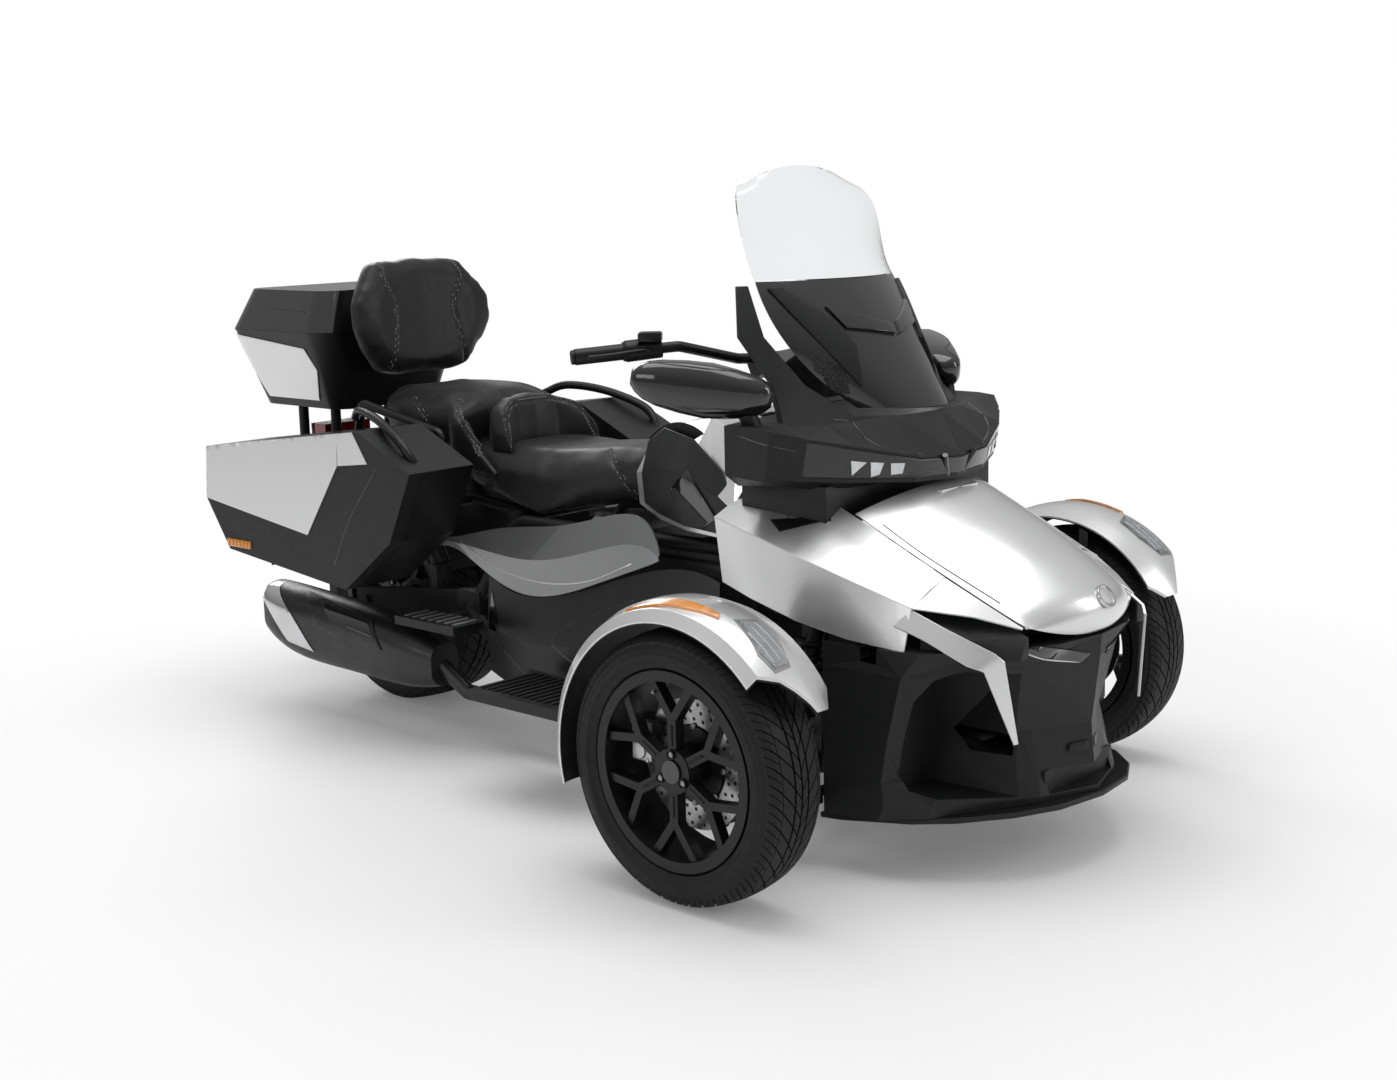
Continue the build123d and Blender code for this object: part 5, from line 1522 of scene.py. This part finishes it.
def makeTail(settings):
    # ribs and a surround for the tail lamp, washers on the plate bracket and markers on the case lids
    x, low, high, half = (settings[key] for key in ("x", "low", "high", "half"))
    middle = (low + high) / 2
    bm = bmesh.new()
    for index in range(settings["ribs"]):
        y = -half + 0.010 + index * (2 * half - 0.020) / (settings["ribs"] - 1)
        addBox(bm, (x - 0.0012, y, middle), (0.0036, 0.009, 0.040), bevel=0.0012)
    piece("tailLampRibs", bm, "redLens", "chassis")
    bm = bmesh.new()
    for z in (low + 0.002, high - 0.002):
        addBox(bm, (x + 0.002, 0, z), (0.010, 2 * half + 0.006, 0.006), bevel=0.0015)
    for y in (-half, half):
        addBox(bm, (x + 0.002, y, middle), (0.010, 0.006, 0.056), bevel=0.0015)
    piece("tailLampSurround", bm, "glossBlack", "chassis")
    bm = bmesh.new()
    for y, z in settings["washers"]:
        addRing(bm, settings["washer"], (settings["washerX"], y, z), "X", 20)
    tidyMesh(bm)
    piece("plateWashers", bm, "brushedSteel", "chassis")
    for label, side in sides:
        marker = bmesh.new()
        back, out, up = settings["marker"]
        addBox(marker, (back, side * out, up), (0.108, 0.010, 0.022), bevel=0.004)
        for index in range(settings["markerRibs"]):
            addBox(marker, (back - 0.041 + 0.0165 * index, side * (out + 0.0056), up), (0.003, 0.0022, 0.016),
                   bevel=0.0006)
        piece("caseMarker" + label, marker, "amberLens", label.lower() + "_case_lid")


makeTail(tail)

lampCells = [((0.948, -0.267, 0.846), (0.967, -0.230, 0.839), (0.945, -0.261, 0.809)),
             ((0.969, -0.227, 0.840), (0.984, -0.195, 0.836), (0.975, -0.201, 0.808), (0.964, -0.221, 0.803)),
             ((0.990, -0.185, 0.834), (1.004, -0.150, 0.832), (0.998, -0.152, 0.806), (0.985, -0.180, 0.805))]


def makeLampCells():
    # bright cells in the dark band, each with a smoked rim
    for label, side in sides:
        cells, rims = bmesh.new(), bmesh.new()
        facing = (-1, 0.5 * -side, 0)
        for cell in lampCells:
            drape(cells, "lampBar", ofSide(shrunk(cell, 0.86), side), facing, 0.006, 0.0006, 0.0012)
            drape(rims, "lampBar", ofSide(cell, side), facing, 0.008, 0.0002, 0.0005)
        piece("lampCells" + label, cells, "whiteLamp", "chassis")
        piece("lampCellRims" + label, rims, "glossBlack", "chassis")
    bm = bmesh.new()
    for side in (1, -1):
        addRod(bm, (1.036, side * 0.055, 0.838), (1.020, side * 0.026, 0.792), 0.006, segments=12)
    piece("lampPosts", bm, "glossBlack", "chassis")


makeLampCells()


# dark panels behind the radiators, so that nothing shows through
intakePanels = {"bevel": 0.001, "panels": (
    ((1.056, 0, 0.216), (0.006, 0.390, 0.116)), ((1.062, 0.289, 0.315), (0.006, 0.196, 0.300)),
    ((1.085, 0.186, 0.315), (0.060, 0.006, 0.300)), ((1.060, 0.289, 0.168), (0.110, 0.196, 0.006)))}
makePanels("intakeBacks", intakePanels)

caseRail = [(-0.640, -0.330, 0.838), (-0.578, -0.362, 0.862), (-0.460, -0.398, 0.850),
            (-0.345, -0.428, 0.812), (-0.300, -0.430, 0.775), (-0.290, -0.420, 0.745)]


def makeCaseRails():
    # bent rails over the side cases, each with its clamp
    bm = bmesh.new()
    for side in (1, -1):
        addTube(bm, smoothPath(ofSide(caseRail, side), 7), 0.0115, 14)
        addBox(bm, ofSide([(-0.296, -0.425, 0.752)], side)[0], (0.060, 0.050, 0.014),
               Matrix.Rotation(0.5, 3, "Y"), 0.004)
    piece("caseRails", bm, "satinBlack", "chassis")


makeCaseRails()


def makeMirrorGlass(settings):
    # mirror faces on the rider's side of both housings
    for label, side in sides:
        inner, outer = podEnds(settings, side)
        facing = Vector((outer.y - inner.y, inner.x - outer.x, 0)).normalized() * side
        up = facing.cross(outer - inner).normalized()
        if up.z < 0:
            up = -up
        points = [inner + (outer - inner) * share + up * height / 1000 for share, height in settings["face"]]
        trimPiece("mirrorGlass" + label, "mirrorHousings", points, facing, "mirrorGlass", "chassis",
                  0.008)


makeMirrorGlass(mirrorPod)
print("details done")


studio = {"floorColour": (0.89, 0.89, 0.89), "floorGlow": 0.12, "fadeFrom": 1.6, "fadeTo": 2.6,
          "skyLow": 0.18, "skyHigh": 0.62, "glossLevel": 0.25}


def mathNode(tree, operation, first, second):
    node = tree.nodes.new("ShaderNodeMath")
    node.operation = operation
    for socket, value in zip(node.inputs, (first, second)):
        if isinstance(value, float):
            socket.default_value = value
        else:
            tree.links.new(value, socket)
    return node.outputs[0]


def seenRays(tree, glossLevel):
    # full for rays from the camera or through glass, partly for reflections
    path = tree.nodes.new("ShaderNodeLightPath")
    through = mathNode(tree, "MAXIMUM", path.outputs["Is Camera Ray"], path.outputs["Is Transmission Ray"])
    gloss = mathNode(tree, "MULTIPLY", path.outputs["Is Glossy Ray"], glossLevel)
    return mathNode(tree, "MAXIMUM", through, gloss)


def makeFloor(settings):
    floorMesh = bmesh.new()
    bmesh.ops.create_grid(floorMesh, x_segments=2, y_segments=2, size=60)
    floor = toObject("studioFloor", floorMesh)
    material, tree, shader, coords = newMaterial("floorPale")
    drift = noiseInto(tree, coords, 0.6, 2.0)
    pale = settings["floorColour"]
    tree.links.new(tones(tree, drift, tuple(c * 0.985 for c in pale), pale), shader.inputs["Base Color"])
    shader.inputs["Roughness"].default_value = 0.6
    shader.inputs["Specular IOR Level"].default_value = 0.15
    glow = tree.nodes.new("ShaderNodeEmission")
    distance = tree.nodes.new("ShaderNodeVectorMath")
    distance.operation = "LENGTH"
    tree.links.new(coords, distance.inputs[0])
    far = spread(tree, distance.outputs["Value"], settings["floorGlow"], 1.0, settings["fadeFrom"],
                 settings["fadeTo"])
    seen = mathNode(tree, "MULTIPLY", seenRays(tree, settings["glossLevel"]), far)
    both = tree.nodes.new("ShaderNodeMixShader")
    tree.links.new(seen, both.inputs["Fac"])
    tree.links.new(shader.outputs[0], both.inputs[1])
    tree.links.new(glow.outputs[0], both.inputs[2])
    tree.links.new(both.outputs[0], tree.nodes["Material Output"].inputs["Surface"])
    floor.data.materials.append(material)


def makeWorld(settings):
    world = bpy.data.worlds.new("studioWorld")
    scene.world = world
    world.use_nodes = True
    tree = world.node_tree
    background = tree.nodes["Background"]
    coords = tree.nodes.new("ShaderNodeTexCoord").outputs["Generated"]
    split = tree.nodes.new("ShaderNodeSeparateXYZ")
    tree.links.new(coords, split.inputs[0])
    sky = spread(tree, split.outputs["Z"], settings["skyLow"], settings["skyHigh"], -0.1, 0.8)
    seen = mathNode(tree, "MAXIMUM", seenRays(tree, settings["glossLevel"]), sky)
    background.inputs["Color"].default_value = (1, 1, 1, 1)
    tree.links.new(seen, background.inputs["Strength"])


lamps = [
    # name, place, aimed at, width, height, watts
    ("overheadSoftbox", (0.2, -0.4, 5.0), (0, 0, 0.3), 5.0, 3.4, 125),
    ("frontLeftStrip", (5.2, 2.6, 2.6), (0.6, 0, 0.6), 1.4, 3.4, 60),
    ("nearSideFill", (-0.6, -6.0, 2.2), (-0.3, 0, 0.5), 5.0, 0.8, 28),
    ("tailRim", (-5.2, 2.0, 3.4), (-0.6, 0, 0.8), 3.0, 2.0, 110)]


def makeLamps(rows):
    for name, place, target, width, height, watts in rows:
        data = bpy.data.lights.new(name, "AREA")
        data.shape, data.size, data.size_y, data.energy = "RECTANGLE", width, height, watts
        lamp = bpy.data.objects.new(name, data)
        scene.collection.objects.link(lamp)
        lamp.location = place
        lamp.rotation_euler = (Vector(target) - Vector(place)).to_track_quat("-Z", "Y").to_euler()


cameraSet = {"place": (3.4531, -3.3932, 1.4221), "turn": 0.815982, "height": 0.182571, "roll": -0.0234884,
             "lens": 50.19}


def makeCamera(settings):
    data = bpy.data.cameras.new("studioCamera")
    data.lens, data.sensor_width, data.sensor_fit = settings["lens"], 36, "HORIZONTAL"
    data.clip_end = 200
    camera = bpy.data.objects.new("studioCamera", data)
    scene.collection.objects.link(camera)
    turn, height, roll = settings["turn"], settings["height"], settings["roll"]
    back = Vector((math.cos(height) * math.cos(turn), -math.cos(height) * math.sin(turn), math.sin(height)))
    right = (-back).cross(Vector((0, 0, 1))).normalized()
    up = right.cross(-back)
    rolledRight = right * math.cos(roll) + up * math.sin(roll)
    rolledUp = up * math.cos(roll) - right * math.sin(roll)
    turnMatrix = Matrix((rolledRight, rolledUp, back)).transposed().to_4x4()
    camera.matrix_world = Matrix.Translation(settings["place"]) @ turnMatrix
    scene.camera = camera


makeFloor(studio)
makeWorld(studio)
makeLamps(lamps)
makeCamera(cameraSet)
scene.view_settings.view_transform = "Standard"
print("studio ready")
